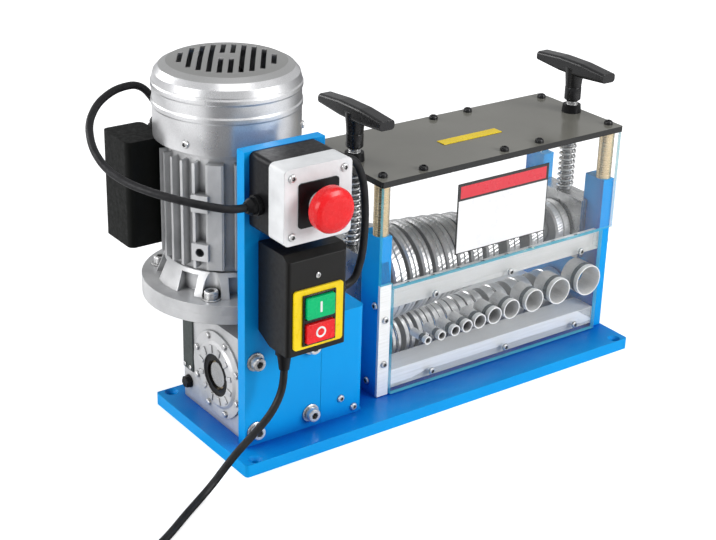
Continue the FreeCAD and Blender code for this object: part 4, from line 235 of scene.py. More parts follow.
def cast_metal():
    """Cast aluminium under a thin silver paint, with painted shade in its pockets."""
    cast = Finish("cast_aluminium", (0.6, 0.6, 0.6), 0.42, 0.55, edge=1.0)
    cloud = cast.tint(cast.noise(28), (0.5, 0.505, 0.515), (0.74, 0.74, 0.745))
    # Painted shade: near black in pockets and corners.
    cast.over(cast.painted_shade_mask(9, 0.25, 0.8), cloud, (0.1, 0.105, 0.11))
    cast.rough(cast.noise(160), 0.34, 0.56)
    cast.bump(cast.noise(420, detail=5), 0.22, 0.6)
    cast.bump(cast.cells(900), 0.07, 0.4)
    return cast.material


def cowl_paint():
    """Pressed sheet in silver paint with fine flakes, with painted shade on its crown and near black painted
    shade in its corners.
    """
    paint = Finish("silver_paint", (0.68, 0.68, 0.69), 0.3, 0.85, edge=0.8)
    flakes = paint.tint(paint.noise(1600, detail=2), (0.66, 0.66, 0.67), (0.84, 0.84, 0.85))
    # Painted shade: the top-facing crown is darker grey, and corners are near black.
    crown = paint.spread(paint.axes(paint.normal())[2], 0.0, 1.0, 0.75, 0.97)
    layer = paint.over(crown, flakes, (0.42, 0.42, 0.41))
    paint.over(paint.painted_shade_mask(4, 0.3, 0.8), layer, (0.05, 0.05, 0.05))
    paint.rough(paint.noise(20), 0.26, 0.38)
    paint.bump(paint.noise(350), 0.05, 0.4)
    return paint.material


def turned_steel(name="turned_steel", axis=0, shade=0.55, roughness=0.24, metallic=0.95):
    """Machined steel with fine tool marks across an axis, and painted shade in its corners."""
    steel = Finish(name, (shade, shade, shade), roughness, metallic, edge=0.3)
    stretch = [0.02, 0.02, 0.02]
    stretch[axis] = 1
    marks = steel.noise(2600, tuple(stretch), 3)
    cloud = steel.tint(steel.noise(45), (shade * 0.82,) * 3, (min(1, shade * 1.18),) * 3)
    # Painted shade: near black in corners.
    steel.over(steel.painted_shade_mask(5, 0.3, 0.8), cloud, (0.06, 0.06, 0.06))
    steel.rough(marks, roughness * 0.7, roughness * 1.5)
    steel.bump(marks, 0.05, 0.5)
    return steel.material


def knurled_steel(name, centre_y, centre_z, teeth, slant, shade):
    """Steel rings with a fine tread round a shaft along X, painted shade on their flanks and near black
    painted shade in the gaps between them.
    """
    steel = Finish(name, (shade, shade, shade), 0.3, 0.7, edge=0.4)
    x, y, z = steel.axes()
    angle = steel.math("ARCTAN2", steel.math("SUBTRACT", z, centre_z), steel.math("SUBTRACT", y, centre_y))
    turned = steel.math("ADD", steel.math("MULTIPLY", angle, teeth), steel.math("MULTIPLY", x, slant))
    wave = steel.math("SINE", turned)
    tread = steel.math("SUBTRACT", 1, steel.math("ABSOLUTE", steel.axes(steel.normal())[0]))
    steel.bump(steel.math("MULTIPLY", wave, tread), 0.2, 0.6)
    cloud = steel.tint(steel.noise(60), (shade * 0.85,) * 3, (min(1, shade * 1.15),) * 3)
    # Painted shade: the rings' flanks, facing along X, are darker, and the gaps between rings are near
    # black.
    flank_shade = steel.spread(steel.math("ABSOLUTE", steel.axes(steel.normal())[0]), 0.0, 0.75, 0.5, 0.95)
    layer = steel.over(flank_shade, cloud, (0.2, 0.2, 0.205))
    steel.over(steel.painted_shade_mask(7, 0.25, 0.75), layer, (0.05, 0.05, 0.055))
    steel.rough(steel.noise(500), 0.28, 0.44)
    return steel.material


def brushed_aluminium(name="brushed_aluminium", along=0, shade=0.94, shaded_bores=False):
    """Extruded aluminium with brush lines along an axis, and painted shade in the bores if it is a tube's.
    """
    metal = Finish(name, (shade, shade, shade * 0.985), 0.38, 0.22, edge=0.4)
    stretch = [1, 1, 1]
    stretch[along] = 0.015
    lines = metal.noise(1500, tuple(stretch), 4)
    bare = metal.tint(lines, (shade * 0.9, shade * 0.9, shade * 0.875), (min(1, shade * 1.08),) * 3)
    # Painted shade: near black inside the bores.
    if shaded_bores:
        metal.over(metal.painted_shade_mask(32, 0.08, 0.4), bare, (0.02, 0.02, 0.025))
    metal.rough(lines, 0.3, 0.48)
    metal.bump(lines, 0.04, 0.5)
    return metal.material


def brass_finish():
    """Turned brass, a little dulled."""
    brass = Finish("turned_brass", (0.72, 0.52, 0.26), 0.26, 0.9, edge=0.3)
    rings = brass.noise(2200, (0.03, 0.03, 1), 3)
    brass.tint(brass.noise(40), (0.66, 0.5, 0.28), (0.86, 0.7, 0.45))
    brass.rough(rings, 0.18, 0.38)
    brass.bump(rings, 0.015, 0.5)
    return brass.material


def moulded(name, color, roughness=0.42, grain=0.12, shine=0.5, edge=0.6):
    """Moulded plastic with a fine spark-eroded grain."""
    plastic = Finish(name, color, roughness, edge=edge, Specular_IOR_Level=shine)
    plastic.tint(plastic.noise(35), tuple(c * 0.86 for c in color), tuple(min(1, c * 1.12) for c in color))
    plastic.rough(plastic.noise(300), roughness * 0.82, roughness * 1.2)
    plastic.bump(plastic.noise(1100, detail=3), grain, 0.5)
    return plastic.material


def cable_rubber():
    """Matt black sheath with slight drag lines."""
    rubber = Finish("cable_sheath", (0.006, 0.006, 0.007), 0.5, Specular_IOR_Level=0.3)
    rubber.tint(rubber.noise(120), (0.004, 0.004, 0.005), (0.014, 0.014, 0.016))
    rubber.rough(rubber.noise(400), 0.38, 0.58)
    rubber.bump(rubber.noise(1800, detail=3), 0.06, 0.5)
    return rubber.material


def clear_sheet(name, low=None, high=None):
    """Clear acrylic with pale cyan edges: all of them, or only those at the rim of a box."""
    sheet = Finish(name, (0.93, 0.97, 0.98), 0.06, IOR=1.49)
    edge = sheet.math("SUBTRACT", 1, sheet.math("ABSOLUTE", sheet.axes(sheet.normal())[1]))
    if low:
        x, y, z = sheet.axes()
        rim = 1.5 * MM
        inner = sheet.math("MULTIPLY", sheet.band(x, low.x + rim, high.x - rim),
                           sheet.band(z, low.z + rim, high.z - rim))
        edge = sheet.math("MULTIPLY", edge, sheet.math("SUBTRACT", 1, sheet.math("MULTIPLY", inner, 0.85)))
    smears = sheet.spread(sheet.noise(14, (1, 1, 0.3)), 0.02, 0.06)
    clarity = sheet.math("ADD", smears, sheet.math("MULTIPLY", edge, 0.6))
    sheet.tree.links.new(clarity, sheet.shader.inputs["Alpha"])
    sheet.over(edge, (0.93, 0.96, 0.97), (0.1, 0.7, 0.9))
    sheet.rough(sheet.noise(40), 0.04, 0.1)
    return sheet.material


def smoked_sheet():
    """Smoked glossy sheet with black edges."""
    sheet = Finish("smoked_acrylic", (0.24, 0.235, 0.21), 0.18, Specular_IOR_Level=0.5)
    up = sheet.math("ABSOLUTE", sheet.axes(sheet.normal())[2])
    top = sheet.tint(sheet.noise(7), (0.17, 0.166, 0.145), (0.22, 0.215, 0.19))
    sheet.over(sheet.math("SUBTRACT", 1, up), top, (0.01, 0.01, 0.01))
    sheet.rough(sheet.noise(30), 0.12, 0.24)
    sheet.bump(sheet.noise(90), 0.02, 0.4)
    return sheet.material


def sign_finish(low, high):
    """White plate with a black outline and a plain red band at its top."""
    sign = Finish("sign_enamel", (0.9, 0.9, 0.9), 0.3, Coat_Weight=0.3)
    x, y, z = sign.axes()
    border, band_low = 1.1 * MM, high.z - 0.24 * (high.z - low.z)

    def inside(margin, bottom, top):
        """1 within the plate's width less a margin, between two heights."""
        off = sign.math("ABSOLUTE", sign.math("SUBTRACT", x, (low.x + high.x) / 2))
        across = sign.math("LESS_THAN", off, (high.x - low.x) / 2 - margin)
        tall = sign.math("MULTIPLY", sign.math("GREATER_THAN", z, bottom), sign.math("LESS_THAN", z, top))
        return sign.math("MULTIPLY", across, tall)

    plate = sign.tint(sign.noise(20), (0.86, 0.86, 0.87), (0.94, 0.94, 0.94))
    black = (0.015, 0.015, 0.015)
    layer = sign.over(inside(border, low.z + border, high.z - border), black, plate)
    layer = sign.over(inside(0, band_low, high.z), layer, black)
    sign.over(inside(3 * MM, band_low + 2.2 * MM, high.z - 2.6 * MM), layer, (0.72, 0.03, 0.05))
    sign.rough(sign.noise(90), 0.22, 0.4)
    return sign.material


def add_camera():
    """The camera at the photograph's place and angle."""
    azimuth, elevation = math.radians(CAMERA_AZIMUTH), math.radians(CAMERA_ELEVATION)
    back = Vector((math.sin(azimuth) * math.cos(elevation),
                   -math.cos(azimuth) * math.cos(elevation), math.sin(elevation)))
    right = Vector((0, 0, 1)).cross(back).normalized()
    up = back.cross(right)
    roll = math.radians(CAMERA_ROLL)
    turned_right = right * math.cos(roll) + up * math.sin(roll)
    turned_up = up * math.cos(roll) - right * math.sin(roll)
    axes = Matrix((turned_right, turned_up, back)).transposed()
    data = bpy.data.cameras.new("photo_camera")
    data.sensor_width = 36
    data.lens = CAMERA_FOCAL * data.sensor_width / PHOTO_WIDTH
    data.clip_end = 50
    camera = bpy.data.objects.new("photo_camera", data)
    camera.matrix_world = Matrix.Translation(CAMERA_PLACE) @ axes.to_4x4()
    bpy.context.scene.collection.objects.link(camera)
    bpy.context.scene.camera = camera


def add_area_light(name, place, size, power):
    """A soft square light that looks at the machine's middle."""
    data = bpy.data.lights.new(name, "AREA")
    data.shape = "SQUARE"
    data.size = size
    data.energy = power
    light = bpy.data.objects.new(name, data)
    light.location = place
    light.rotation_euler = (LAMP_TARGET - Vector(place)).to_track_quat("-Z", "Y").to_euler()
    bpy.context.scene.collection.objects.link(light)


def add_studio():
    """A pale floor, a plain world that looks white behind the machine, and the lamps."""
    mesh = bpy.data.meshes.new("floor")
    corners = [(x * FLOOR_HALF, y * FLOOR_HALF, 0) for x, y in ((-1, -1), (1, -1), (1, 1), (-1, 1))]
    mesh.from_pydata(corners, [], [(0, 1, 2, 3)])
    floor = bpy.data.objects.new("floor", mesh)
    bpy.context.scene.collection.objects.link(floor)
    ground = Finish("studio_floor", (0.9, 0.9, 0.9), 0.9)
    pale = ground.tint(ground.noise(3), (0.89, 0.89, 0.89), (0.91, 0.91, 0.91))
    ground.shader.inputs["Emission Color"].default_value = (1, 1, 1, 1)
    rays = ground.tree.nodes.new("ShaderNodeLightPath").outputs
    x, y, z = ground.axes()
    x, y = ground.math("SUBTRACT", x, CLOTH_MIDDLE[0]), ground.math("SUBTRACT", y, CLOTH_MIDDLE[1])
    squares = ground.math("ADD", ground.math("MULTIPLY", x, x), ground.math("MULTIPLY", y, y))
    reach = ground.math("SQRT", squares)
    whiteness = ground.spread(reach, FLOOR_WHITE, 1.0, WHITE_FROM, WHITE_AT)
    ground.tree.links.new(ground.math("MULTIPLY", rays["Is Camera Ray"], whiteness),
                          ground.shader.inputs["Emission Strength"])
    dark = 0.0
    for way_x, way_y, start, end in CLOTHS:
        along = ground.math("ADD", ground.math("MULTIPLY", x, way_x), ground.math("MULTIPLY", y, way_y))
        cloth = ground.spread(ground.math("DIVIDE", along, reach), 0.0, 1.0, start, end)
        dark = ground.math("MAXIMUM", cloth, dark)
    ground.over(ground.math("MULTIPLY", dark, rays["Is Glossy Ray"]), pale, CLOTH_BLACK)
    mesh.materials.append(ground.material)
    world = bpy.data.worlds.new("studio")
    world.use_nodes = True
    tree = world.node_tree
    light = tree.nodes["Background"]
    light.inputs["Color"].default_value = (0.95, 0.97, 1, 1)
    light.inputs["Strength"].default_value = WORLD_LIGHT
    backdrop = tree.nodes.new("ShaderNodeBackground")
    backdrop.inputs["Color"].default_value = (1, 1, 1, 1)
    rays = tree.nodes.new("ShaderNodeLightPath")
    shine = tree.nodes.new("ShaderNodeMath")
    shine.operation = "MULTIPLY"
    shine.inputs[1].default_value = WORLD_SHINE
    tree.links.new(rays.outputs["Is Glossy Ray"], shine.inputs[0])
    whiteness = shine.outputs[0]
    for ray in ("Is Camera Ray", "Is Transmission Ray"):
        either = tree.nodes.new("ShaderNodeMath")
        either.operation = "MAXIMUM"
        tree.links.new(whiteness, either.inputs[0])
        tree.links.new(rays.outputs[ray], either.inputs[1])
        whiteness = either.outputs[0]
    blend = tree.nodes.new("ShaderNodeMixShader")
    tree.links.new(whiteness, blend.inputs[0])
    tree.links.new(light.outputs[0], blend.inputs[1])
    tree.links.new(backdrop.outputs[0], blend.inputs[2])
    tree.links.new(blend.outputs[0], tree.nodes["World Output"].inputs["Surface"])
    bpy.context.scene.world = world
    bpy.context.scene.view_settings.view_transform = "Standard"
    for name, place, size, power in LAMPS:
        add_area_light(name, place, size, power)


def coat(material, *names):
    """Give CAD nodes a finish."""
    for name in names:
        mesh = nodes[name].data
        mesh.materials.clear()
        mesh.materials.append(material)


def new_piece(name, data, body, material):
    """Put a piece in the scene, on a body and with a finish."""
    piece = bpy.data.objects.new(name, data)
    bpy.context.scene.collection.objects.link(piece)
    data.materials.append(material)
    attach(piece, body)
    return piece


def finish_mesh(name, form):
    """Turn a bmesh into a mesh with smooth faces and sharp edges kept by their angle."""
    mesh = bpy.data.meshes.new(name)
    bmesh.ops.recalc_face_normals(form, faces=form.faces)
    form.to_mesh(mesh)
    form.free()
    mesh.shade_smooth()
    mesh.set_sharp_from_angle(angle=math.radians(32))
    return mesh


def soften(piece, width, segments=3, angle=30):
    """Round a piece's sharp edges."""
    bevel = piece.modifiers.new("soft_edges", "BEVEL")
    bevel.width = width * MM
    bevel.segments = segments
    bevel.limit_method = "ANGLE"
    bevel.angle_limit = math.radians(angle)
    return piece


def ring_reach(radius, turn):
    """A ring's reach at an angle: a circle, or a hexagon's side where the radius is negative."""
    if radius >= 0:
        return radius
    return -radius / math.cos((turn % (math.pi / 3)) - math.pi / 6)


def add_lathe(form, profile, place, axis, steps=24, closed=False):
    """Turn a profile of (along, radius) points in millimetres about an axis through a place.

    A closed profile makes a ring, and an open one gets a face at either end.
    """
    axis = Vector(axis).normalized()
    side = axis.orthogonal().normalized()
    other = axis.cross(side)
    rings = []
    for along, radius in profile:
        middle = Vector(place) + axis * (along * MM)
        ring = []
        for k in range(steps):
            turn = 2 * math.pi * k / steps
            out = side * math.cos(turn) + other * math.sin(turn)
            ring.append(form.verts.new(middle + out * (ring_reach(radius, turn) * MM)))
        rings.append(ring)
    for first, second in zip(rings, rings[1:] + rings[:closed]):
        for k in range(steps):
            form.faces.new((first[k], first[(k + 1) % steps], second[(k + 1) % steps], second[k]))
    if not closed:
        form.faces.new(rings[0])
        form.faces.new(rings[-1])


def add_slab(form, low, high):
    """A block between two corners in metres."""
    made = bmesh.ops.create_cube(form, size=1)["verts"]
    bmesh.ops.scale(form, verts=made, vec=Vector(high) - Vector(low))
    bmesh.ops.translate(form, verts=made, vec=(Vector(low) + Vector(high)) / 2)


def islands(name):
    """The separate solids of a CAD node, each as a list of its points."""
    form = bmesh.new()
    form.from_mesh(nodes[name].data)
    bmesh.ops.remove_doubles(form, verts=form.verts, dist=SAME_POINT)
    seen, groups = set(), []
    for vert in form.verts:
        if vert in seen:
            continue
        queue, group = [vert], []
        seen.add(vert)
        while queue:
            here = queue.pop()
            group.append(here.co.copy())
            for edge in here.link_edges:
                other = edge.other_vert(here)
                if other not in seen:
                    seen.add(other)
                    queue.append(other)
        groups.append(group)
    form.free()
    return groups


def screw_head(points):
    """The way that a screw's head faces, the middle of its face, its radius and its height."""
    best = None
    for way in MAIN_WAYS + COWL_WAYS:
        tip = max(p.dot(way) for p in points)
        face = [p for p in points if p.dot(way) > tip - SAME_FACE]
        centre = sum(face, Vector()) / len(face)
        radius = max((p - centre).length for p in face)
        rim = [p for p in face if (p - centre).length > RIM_SHARE * radius]
        if len(rim) < RIM_POINTS or (best and radius <= best[2]):
            continue
        outer = [(p - centre).dot(way) for p in points
                 if ((p - centre) - way * (p - centre).dot(way)).length > RIM_SHARE * radius]
        best = (way, centre, radius, -min(outer))
    return best


def dress_screws(node, name, material, domed=False, washer=False):
    """Replace a node's plain screws with heads that have chamfered rims and hexagon sockets."""
    form = bmesh.new()
    for points in islands(node):
        way, face, radius, tall = screw_head(points)
        radius, tall = radius / MM, tall / MM
        foot = face - way * tall * MM
        profile = [(0, radius)]
        profile += [(share * tall, radius * wide) for share, wide in (DOMED_RIM if domed else STRAIGHT_RIM)]
        profile += [(tall, -radius * SOCKET_WIDE), (tall * SOCKET_FLOOR, -radius * SOCKET_FLOOR_WIDE)]
        add_lathe(form, profile, foot, way, 36)
        if washer:
            add_lathe(form, [(high, radius * wide) for high, wide in WASHER], foot, way, 36)
    piece = new_piece(name, finish_mesh(name, form), "machine", material)
    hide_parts(node)
    return piece


# Materials.
BLUE = blue_paint()
CAST = cast_metal()
STEEL = turned_steel()
UPRIGHT_STEEL = turned_steel("turned_upright", 2)
ZINC = turned_steel("zinc_plated", 2, 0.68, 0.3, 0.8)
BLACK = moulded("black_plastic", (0.005, 0.005, 0.006), 0.4, shine=0.22)
GLOSS_BLACK = moulded("gloss_black", (0.006, 0.006, 0.007), 0.26, 0.05, 0.45, 1.2)
CHARCOAL = moulded("charcoal_plastic", (0.007, 0.0065, 0.006), 0.4, 0.1, 0.28, 1.0)
PALE = moulded("pale_plastic", (0.74, 0.75, 0.76), 0.36, 0.06, 0.4, 1.0)
RED = moulded("red_plastic", (0.82, 0.008, 0.012), 0.26, 0.03, 0.4, 1.2)
GREEN = moulded("green_plastic", (0.001, 0.5, 0.17), 0.26, 0.03, 0.2)
YELLOW = moulded("yellow_plastic", (0.95, 0.66, 0.004), 0.3, 0.03, 0.35)
WHITE = moulded("white_ink", (0.86, 0.86, 0.86), 0.4, 0.02)
# A dark grey for the gearbox's side plate, which stands in for shade.
SHADE_PLATE = moulded("shade_plate", (0.045, 0.055, 0.052), 0.45, 0.1, 0.4)
BRASS = brass_finish()
ALUMINIUM = brushed_aluminium()
TUBE_ALUMINIUM = brushed_aluminium("tube_aluminium", 1, 0.92, shaded_bores=True)
RUBBER = cable_rubber()

coat(BLUE, "drive_bracket", "gear_guard")
# Painted shade on the base plate's top faces and on the frames' side faces, darker where other parts stand
# close.
coat(blue_paint("base_enamel", 70, 0.42, facing=2), "base_plate")
coat(blue_paint("frame_enamel", facing=0), "left_frame", "right_frame")
coat(CAST, "gearbox_housing", "gearbox_covers", "motor_flange", "motor_housing", "motor_end_shield")
coat(cowl_paint(), "fan_cowl")
coat(moulded("box_plastic", (0.003, 0.0035, 0.003), 0.5, 0.1, 0.12, 1.2), "motor_boxes")
coat(BLACK, "cooling_fan", "estop_base", "contact_blocks", "cable_glands",
     "screw_bushes", "legend_plate")
coat(CHARCOAL, "switch_housing")
coat(GLOSS_BLACK, "handle_left", "handle_right", "plate_screws")
coat(PALE, "estop_cover", "estop_stem")
coat(RED, "estop_mushroom", "stop_button")
coat(GREEN, "start_button")
coat(YELLOW, "switch_plate")
coat(STEEL, "output_shaft", "output_gear", "driven_gear", "upper_shaft", "lower_shaft",
     "bearing_blocks", "block_bearings", "fixed_bearings", "ring_blades")
coat(UPRIGHT_STEEL, "stator", "motor_rotor", "screw_left", "screw_right")
coat(ZINC, "pressure_springs", "mount_bolts", "small_screws")
coat(BRASS, "worm_wheel", "pillars", "plug_pins")
coat(ALUMINIUM, "aluminium_bars", "capacitor")
coat(TUBE_ALUMINIUM, "guide_tubes")
coat(clear_sheet("clear_panel", *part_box("front_panel")), "front_panel")
coat(clear_sheet("clear_acrylic"), "clear_guards")
coat(smoked_sheet(), "top_plate")
coat(sign_finish(*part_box("sign_plate")), "sign_plate")
coat(RUBBER, "control_leads", "supply_cord", "supply_coil", "plug_body")
for roller, slant, teeth in (("pressure_rollers", 500, 60), ("feed_wheels", 0, 90)):
    low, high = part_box(roller)
    coat(knurled_steel(roller + "_knurl", (low.y + high.y) / 2, (low.z + high.z) / 2, teeth, slant, 0.78),
         roller)

add_camera()
add_studio()

# Supply cord: its route, then the coil's turns, in on the floor, up, and out again.
CORD_DIAMETER, CORD_LENGTH, FLOOR_Z = 7.0, 1.83, 3.5
CORD_ROUTE = [(-196, -82, 103), (-196, -82, 86), (-202.5, -83, 69.5), (-214, -84, 56), (-229, -84, 44),
              (-245, -84.5, 33), (-259, -85, 21), (-272, -86.5, 10), (-288, -92, FLOOR_Z),
              (-311, -107, FLOOR_Z), (-335, -124, FLOOR_Z), (-357, -137.5, FLOOR_Z),
              (-379, -137.5, FLOOR_Z)]
COIL_PLACE, COIL_OUTER, COIL_STEP, COIL_QUARTERS = (-386, -188), 50.5, 8, 12
COIL_LEAVE, COIL_PER_QUARTER = 9, 4
# The upper layer's first quarters widen faster, until its turns lie like the lower ones.
WIDEN_STEP, WIDEN_LAG, SETTLED_LEAD = 0.54, 0.5, 1.2


def coil_reach(quarter):
    """The coil's radius and height after a number of quarter turns."""
    inner = COIL_OUTER - COIL_STEP * COIL_QUARTERS / 4
    if quarter <= COIL_QUARTERS + 2:
        climb = max(0.0, (quarter - COIL_QUARTERS) / 2)
        return COIL_OUTER - COIL_STEP * quarter / 4, FLOOR_Z + COIL_STEP * climb
    out = quarter - COIL_QUARTERS - 2
    widening, settled = WIDEN_STEP * out - WIDEN_LAG, (out + SETTLED_LEAD) / 4
    return inner + min(COIL_STEP * widening, COIL_STEP * settled), FLOOR_Z + COIL_STEP


def coil_points():
    """The coil's control points, set a little wide because the spline cuts inside them."""
    points = []
    last = 2 * COIL_QUARTERS + 2
    wide = 1 / math.cos(math.pi / 4 / COIL_PER_QUARTER)
    for k in range(1, last * COIL_PER_QUARTER + 1):
        quarter = k / COIL_PER_QUARTER
        low, high = math.floor(quarter), math.ceil(quarter)
        share = quarter - low
        (reach_a, z_a), (reach_b, z_b) = coil_reach(low), coil_reach(high)
        reach = (reach_a + (reach_b - reach_a) * share) * wide
        if quarter > last - 1:
            reach += COIL_LEAVE * (quarter - last + 1)
        angle = math.pi / 2 * (1 + quarter)
        points.append((COIL_PLACE[0] + reach * math.cos(angle), COIL_PLACE[1] + reach * math.sin(angle),
                       z_a + (z_b - z_a) * share))
    return points


coil = coil_points()
plug_low, plug_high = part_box("plug_body")
PLUG_START = Vector((plug_low.x, (plug_low.y + plug_high.y) / 2, (plug_low.z + plug_high.z) / 2))
cord_points = [Vector(point) * MM for point in CORD_ROUTE + coil]
cord_points.append(PLUG_START + Vector((2 * MM, 0, 0)))
cord_curve = bpy.data.curves.new("supply_lead", "CURVE")
cord_curve.dimensions = "3D"
cord_curve.bevel_depth = CORD_DIAMETER / 2 * MM
cord_curve.bevel_resolution = 6
cord_curve.resolution_u = 5
cord_curve.use_fill_caps = True
spline = cord_curve.splines.new("NURBS")
spline.points.add(len(cord_points) - 1)
for point, place in zip(spline.points, cord_points):
    point.co = (*place, 1)
spline.order_u = 3
spline.use_endpoint_u = True
cord = new_piece("supply_lead", cord_curve, "machine", RUBBER)
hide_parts("supply_cord", "supply_coil")

# Screws with sockets instead of the plain heads.
dress_screws("mount_bolts", "socket_bolts", ZINC, washer=True)
dress_screws("small_screws", "button_screws", ZINC, domed=True)
dress_screws("plate_screws", "cap_screws", GLOSS_BLACK, domed=True)

# Buttons: a frame round each window, a bar on the green key and a ring on the red one.
FRAME_GAP, FRAME_WIDE, FRAME_PROUD = 0.6 * MM, 2.0 * MM, 1.6 * MM
MARK_PROUD, MARK_SUNK = 0.25, 0.2
BAR_WIDE, BAR_TALL = 2.2 * MM, 10 * MM
RING_STEPS, RING_OUTER, RING_INNER = 40, 5.2, 3.4

form = bmesh.new()
plate_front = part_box("switch_plate")[0].y
for key in ("start_button", "stop_button"):
    low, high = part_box(key)
    x0, x1, x2, x3 = (low.x - FRAME_GAP - FRAME_WIDE, low.x - FRAME_GAP,
                      high.x + FRAME_GAP, high.x + FRAME_GAP + FRAME_WIDE)
    z0, z1, z2, z3 = (low.z - FRAME_GAP - FRAME_WIDE, low.z - FRAME_GAP,
                      high.z + FRAME_GAP, high.z + FRAME_GAP + FRAME_WIDE)
    for left, right, bottom, top in ((x0, x1, z0, z3), (x2, x3, z0, z3), (x1, x2, z0, z1), (x1, x2, z2, z3)):
        add_slab(form, (left, plate_front - FRAME_PROUD, bottom), (right, plate_front, top))
soften(new_piece("button_frames", finish_mesh("button_frames", form), "machine",
                 GLOSS_BLACK), 0.4, 2)

low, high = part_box("start_button")
middle = (low + high) / 2
form = bmesh.new()
add_slab(form, (middle.x - BAR_WIDE / 2, low.y - MARK_PROUD * MM, middle.z - BAR_TALL / 2),
         (middle.x + BAR_WIDE / 2, low.y + MARK_SUNK * MM, middle.z + BAR_TALL / 2))
soften(new_piece("start_bar", finish_mesh("start_bar", form), "start_key", WHITE), 0.1, 2)

low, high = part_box("stop_button")
middle = (low + high) / 2
form = bmesh.new()
rings = [[], [], [], []]
for k in range(RING_STEPS):
    turn = 2 * math.pi * k / RING_STEPS
    for ring, (reach, sunk) in zip(rings, ((RING_OUTER, MARK_SUNK), (RING_OUTER, -MARK_PROUD),
                                           (RING_INNER, -MARK_PROUD), (RING_INNER, MARK_SUNK))):
        ring.append(form.verts.new((middle.x + reach * MM * math.cos(turn), low.y + sunk * MM,
                                    middle.z + reach * MM * math.sin(turn))))
for ring, following in zip(rings, rings[1:] + rings[:1]):
    for k in range(RING_STEPS):
        after = (k + 1) % RING_STEPS
        form.faces.new((ring[k], ring[after], following[after], following[k]))
new_piece("stop_ring", finish_mesh("stop_ring", form), "stop_key", WHITE)

# Threaded pressure screws, plain at both ends, with a dark collar under each grip.
THREAD_PITCH, THREAD_DEEP = 1.75, 0.75
PLAIN_FOOT, FOOT_STEP, NECK_STEP = 1, 1, 1.5
COLLAR = [(-14, 7.6), (-13, 8.4), (-1, 8.4), (0, 8.0)]
for side in ("left", "right"):
    low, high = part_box(f"screw_{side}")
    middle, tall = (low + high) / 2, (high.z - low.z) / MM
    radius = (high.x - low.x) / 2 / MM
    threaded = (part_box(f"handle_{side}")[0].z - low.z) / MM
    profile = [(0, radius - FOOT_STEP)]
    for k in range(int((threaded - PLAIN_FOOT) / THREAD_PITCH)):
        profile += [(PLAIN_FOOT + k * THREAD_PITCH, radius - THREAD_DEEP),
                    (PLAIN_FOOT + (k + 0.5) * THREAD_PITCH, radius)]
    profile += [(threaded, radius - THREAD_DEEP), (threaded, radius - NECK_STEP), (tall, radius - NECK_STEP)]
    form = bmesh.new()
    add_lathe(form, profile, (middle.x, middle.y, low.z), (0, 0, 1), 28)
    thread = new_piece(f"spindle_{side}", finish_mesh(f"spindle_{side}", form), f"{side}_screw",
                       ZINC)
    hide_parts(f"screw_{side}")
    form = bmesh.new()
    add_lathe(form, COLLAR, (middle.x, middle.y, low.z + threaded * MM), (0, 0, 1), 28)
    new_piece(f"collar_{side}", finish_mesh(f"collar_{side}", form), f"{side}_screw",
              GLOSS_BLACK)

# Springs between the bearing blocks and the top plate: a copy of the CAD springs in world space.
springs = bpy.data.objects.new("coil_springs", nodes["pressure_springs"].data.copy())
bpy.context.scene.collection.objects.link(springs)
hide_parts("pressure_springs")
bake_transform(springs)

# Gearbox: bolts, ribs and an oil seal in each cover, and a dark plate and a plug away from the head; the
# plate stands in for shade on that part of the side.
COVER_BOLTS, BOLT_INSET, BOLT_SUNK = 8, 4.4, 2
COVER_BOLT = [(0, 3.4), (0.4, 3.4), (0.4, -2.7), (2, -2.7), (2.4, -2.3)]
OIL_SEAL = [(-4.6, 14.4), (-0.8, 14.4), (-1.4, 15.6), (-1.4, 18.6), (-0.6, 20.4), (-4.6, 20.4)]
COVER_RIBS, RIB_SUNK, RIB_PROUD = 12, 0.3, 1.2
RIB_OUTLINE = ((21.5, -1.7), (21.5, 1.7), (29, 2.4), (29, -2.4))
COVER_THICK = 4
PLATE_PROUD, PLATE_SUNK, PLATE_STUD_INSET = 1.6, 0.4, 4
PLATE_NEAR, PLATE_FAR, PLATE_BOTTOM, PLATE_TOP = 45, 63, -18, 44
PLATE_STUD = [(0, 2.2), (0.8, 2.2), (1.3, 1.5)]
PLUG_OUT, PLUG_DOWN = 54, -31
DRAIN_PLUG = [(0, 6.4), (1.2, 6.4), (1.2, -5.2), (5.2, -5.2), (5.8, -4.6)]

low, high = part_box("gearbox_covers")
cover_middle, cover_radius = (low + high) / 2, (high.z - low.z) / 2 / MM
bolts, seals, ribs = bmesh.new(), bmesh.new(), bmesh.new()
for face, out in ((low.x, -1), (high.x, 1)):
    middle = Vector((face, cover_middle.y, cover_middle.z))
    for k in range(COVER_BOLTS):
        turn = 2 * math.pi * (k + 0.5) / COVER_BOLTS
        reach = (cover_radius - BOLT_INSET) * MM
        place = middle + Vector((-out * BOLT_SUNK * MM, reach * math.cos(turn), reach * math.sin(turn)))
        add_lathe(bolts, COVER_BOLT, place, (out, 0, 0), 24)
    add_lathe(seals, OIL_SEAL, middle, (out, 0, 0), 48, closed=True)
    for k in range(COVER_RIBS):
        turn = 2 * math.pi * (k + 0.5) / COVER_RIBS
        reach = Vector((0, math.cos(turn), math.sin(turn)))
        side = Vector((0, -math.sin(turn), math.cos(turn)))
        corners = [middle + reach * (r * MM) + side * (w * MM) for r, w in RIB_OUTLINE]
        base = [ribs.verts.new(c - Vector((out * RIB_SUNK * MM, 0, 0))) for c in corners]
        top = [ribs.verts.new(c + Vector((out * RIB_PROUD * MM, 0, 0))) for c in corners]
        ribs.faces.new(base)
        ribs.faces.new(top)
        for j in range(4):
            ribs.faces.new((base[j], base[(j + 1) % 4], top[(j + 1) % 4], top[j]))
new_piece("cover_bolts", finish_mesh("cover_bolts", bolts), "machine", ZINC)
new_piece("oil_seals", finish_mesh("oil_seals", seals), "machine", BLACK)
soften(new_piece("gearbox_ribs", finish_mesh("gearbox_ribs", ribs), "machine", CAST),
       0.4, 2)

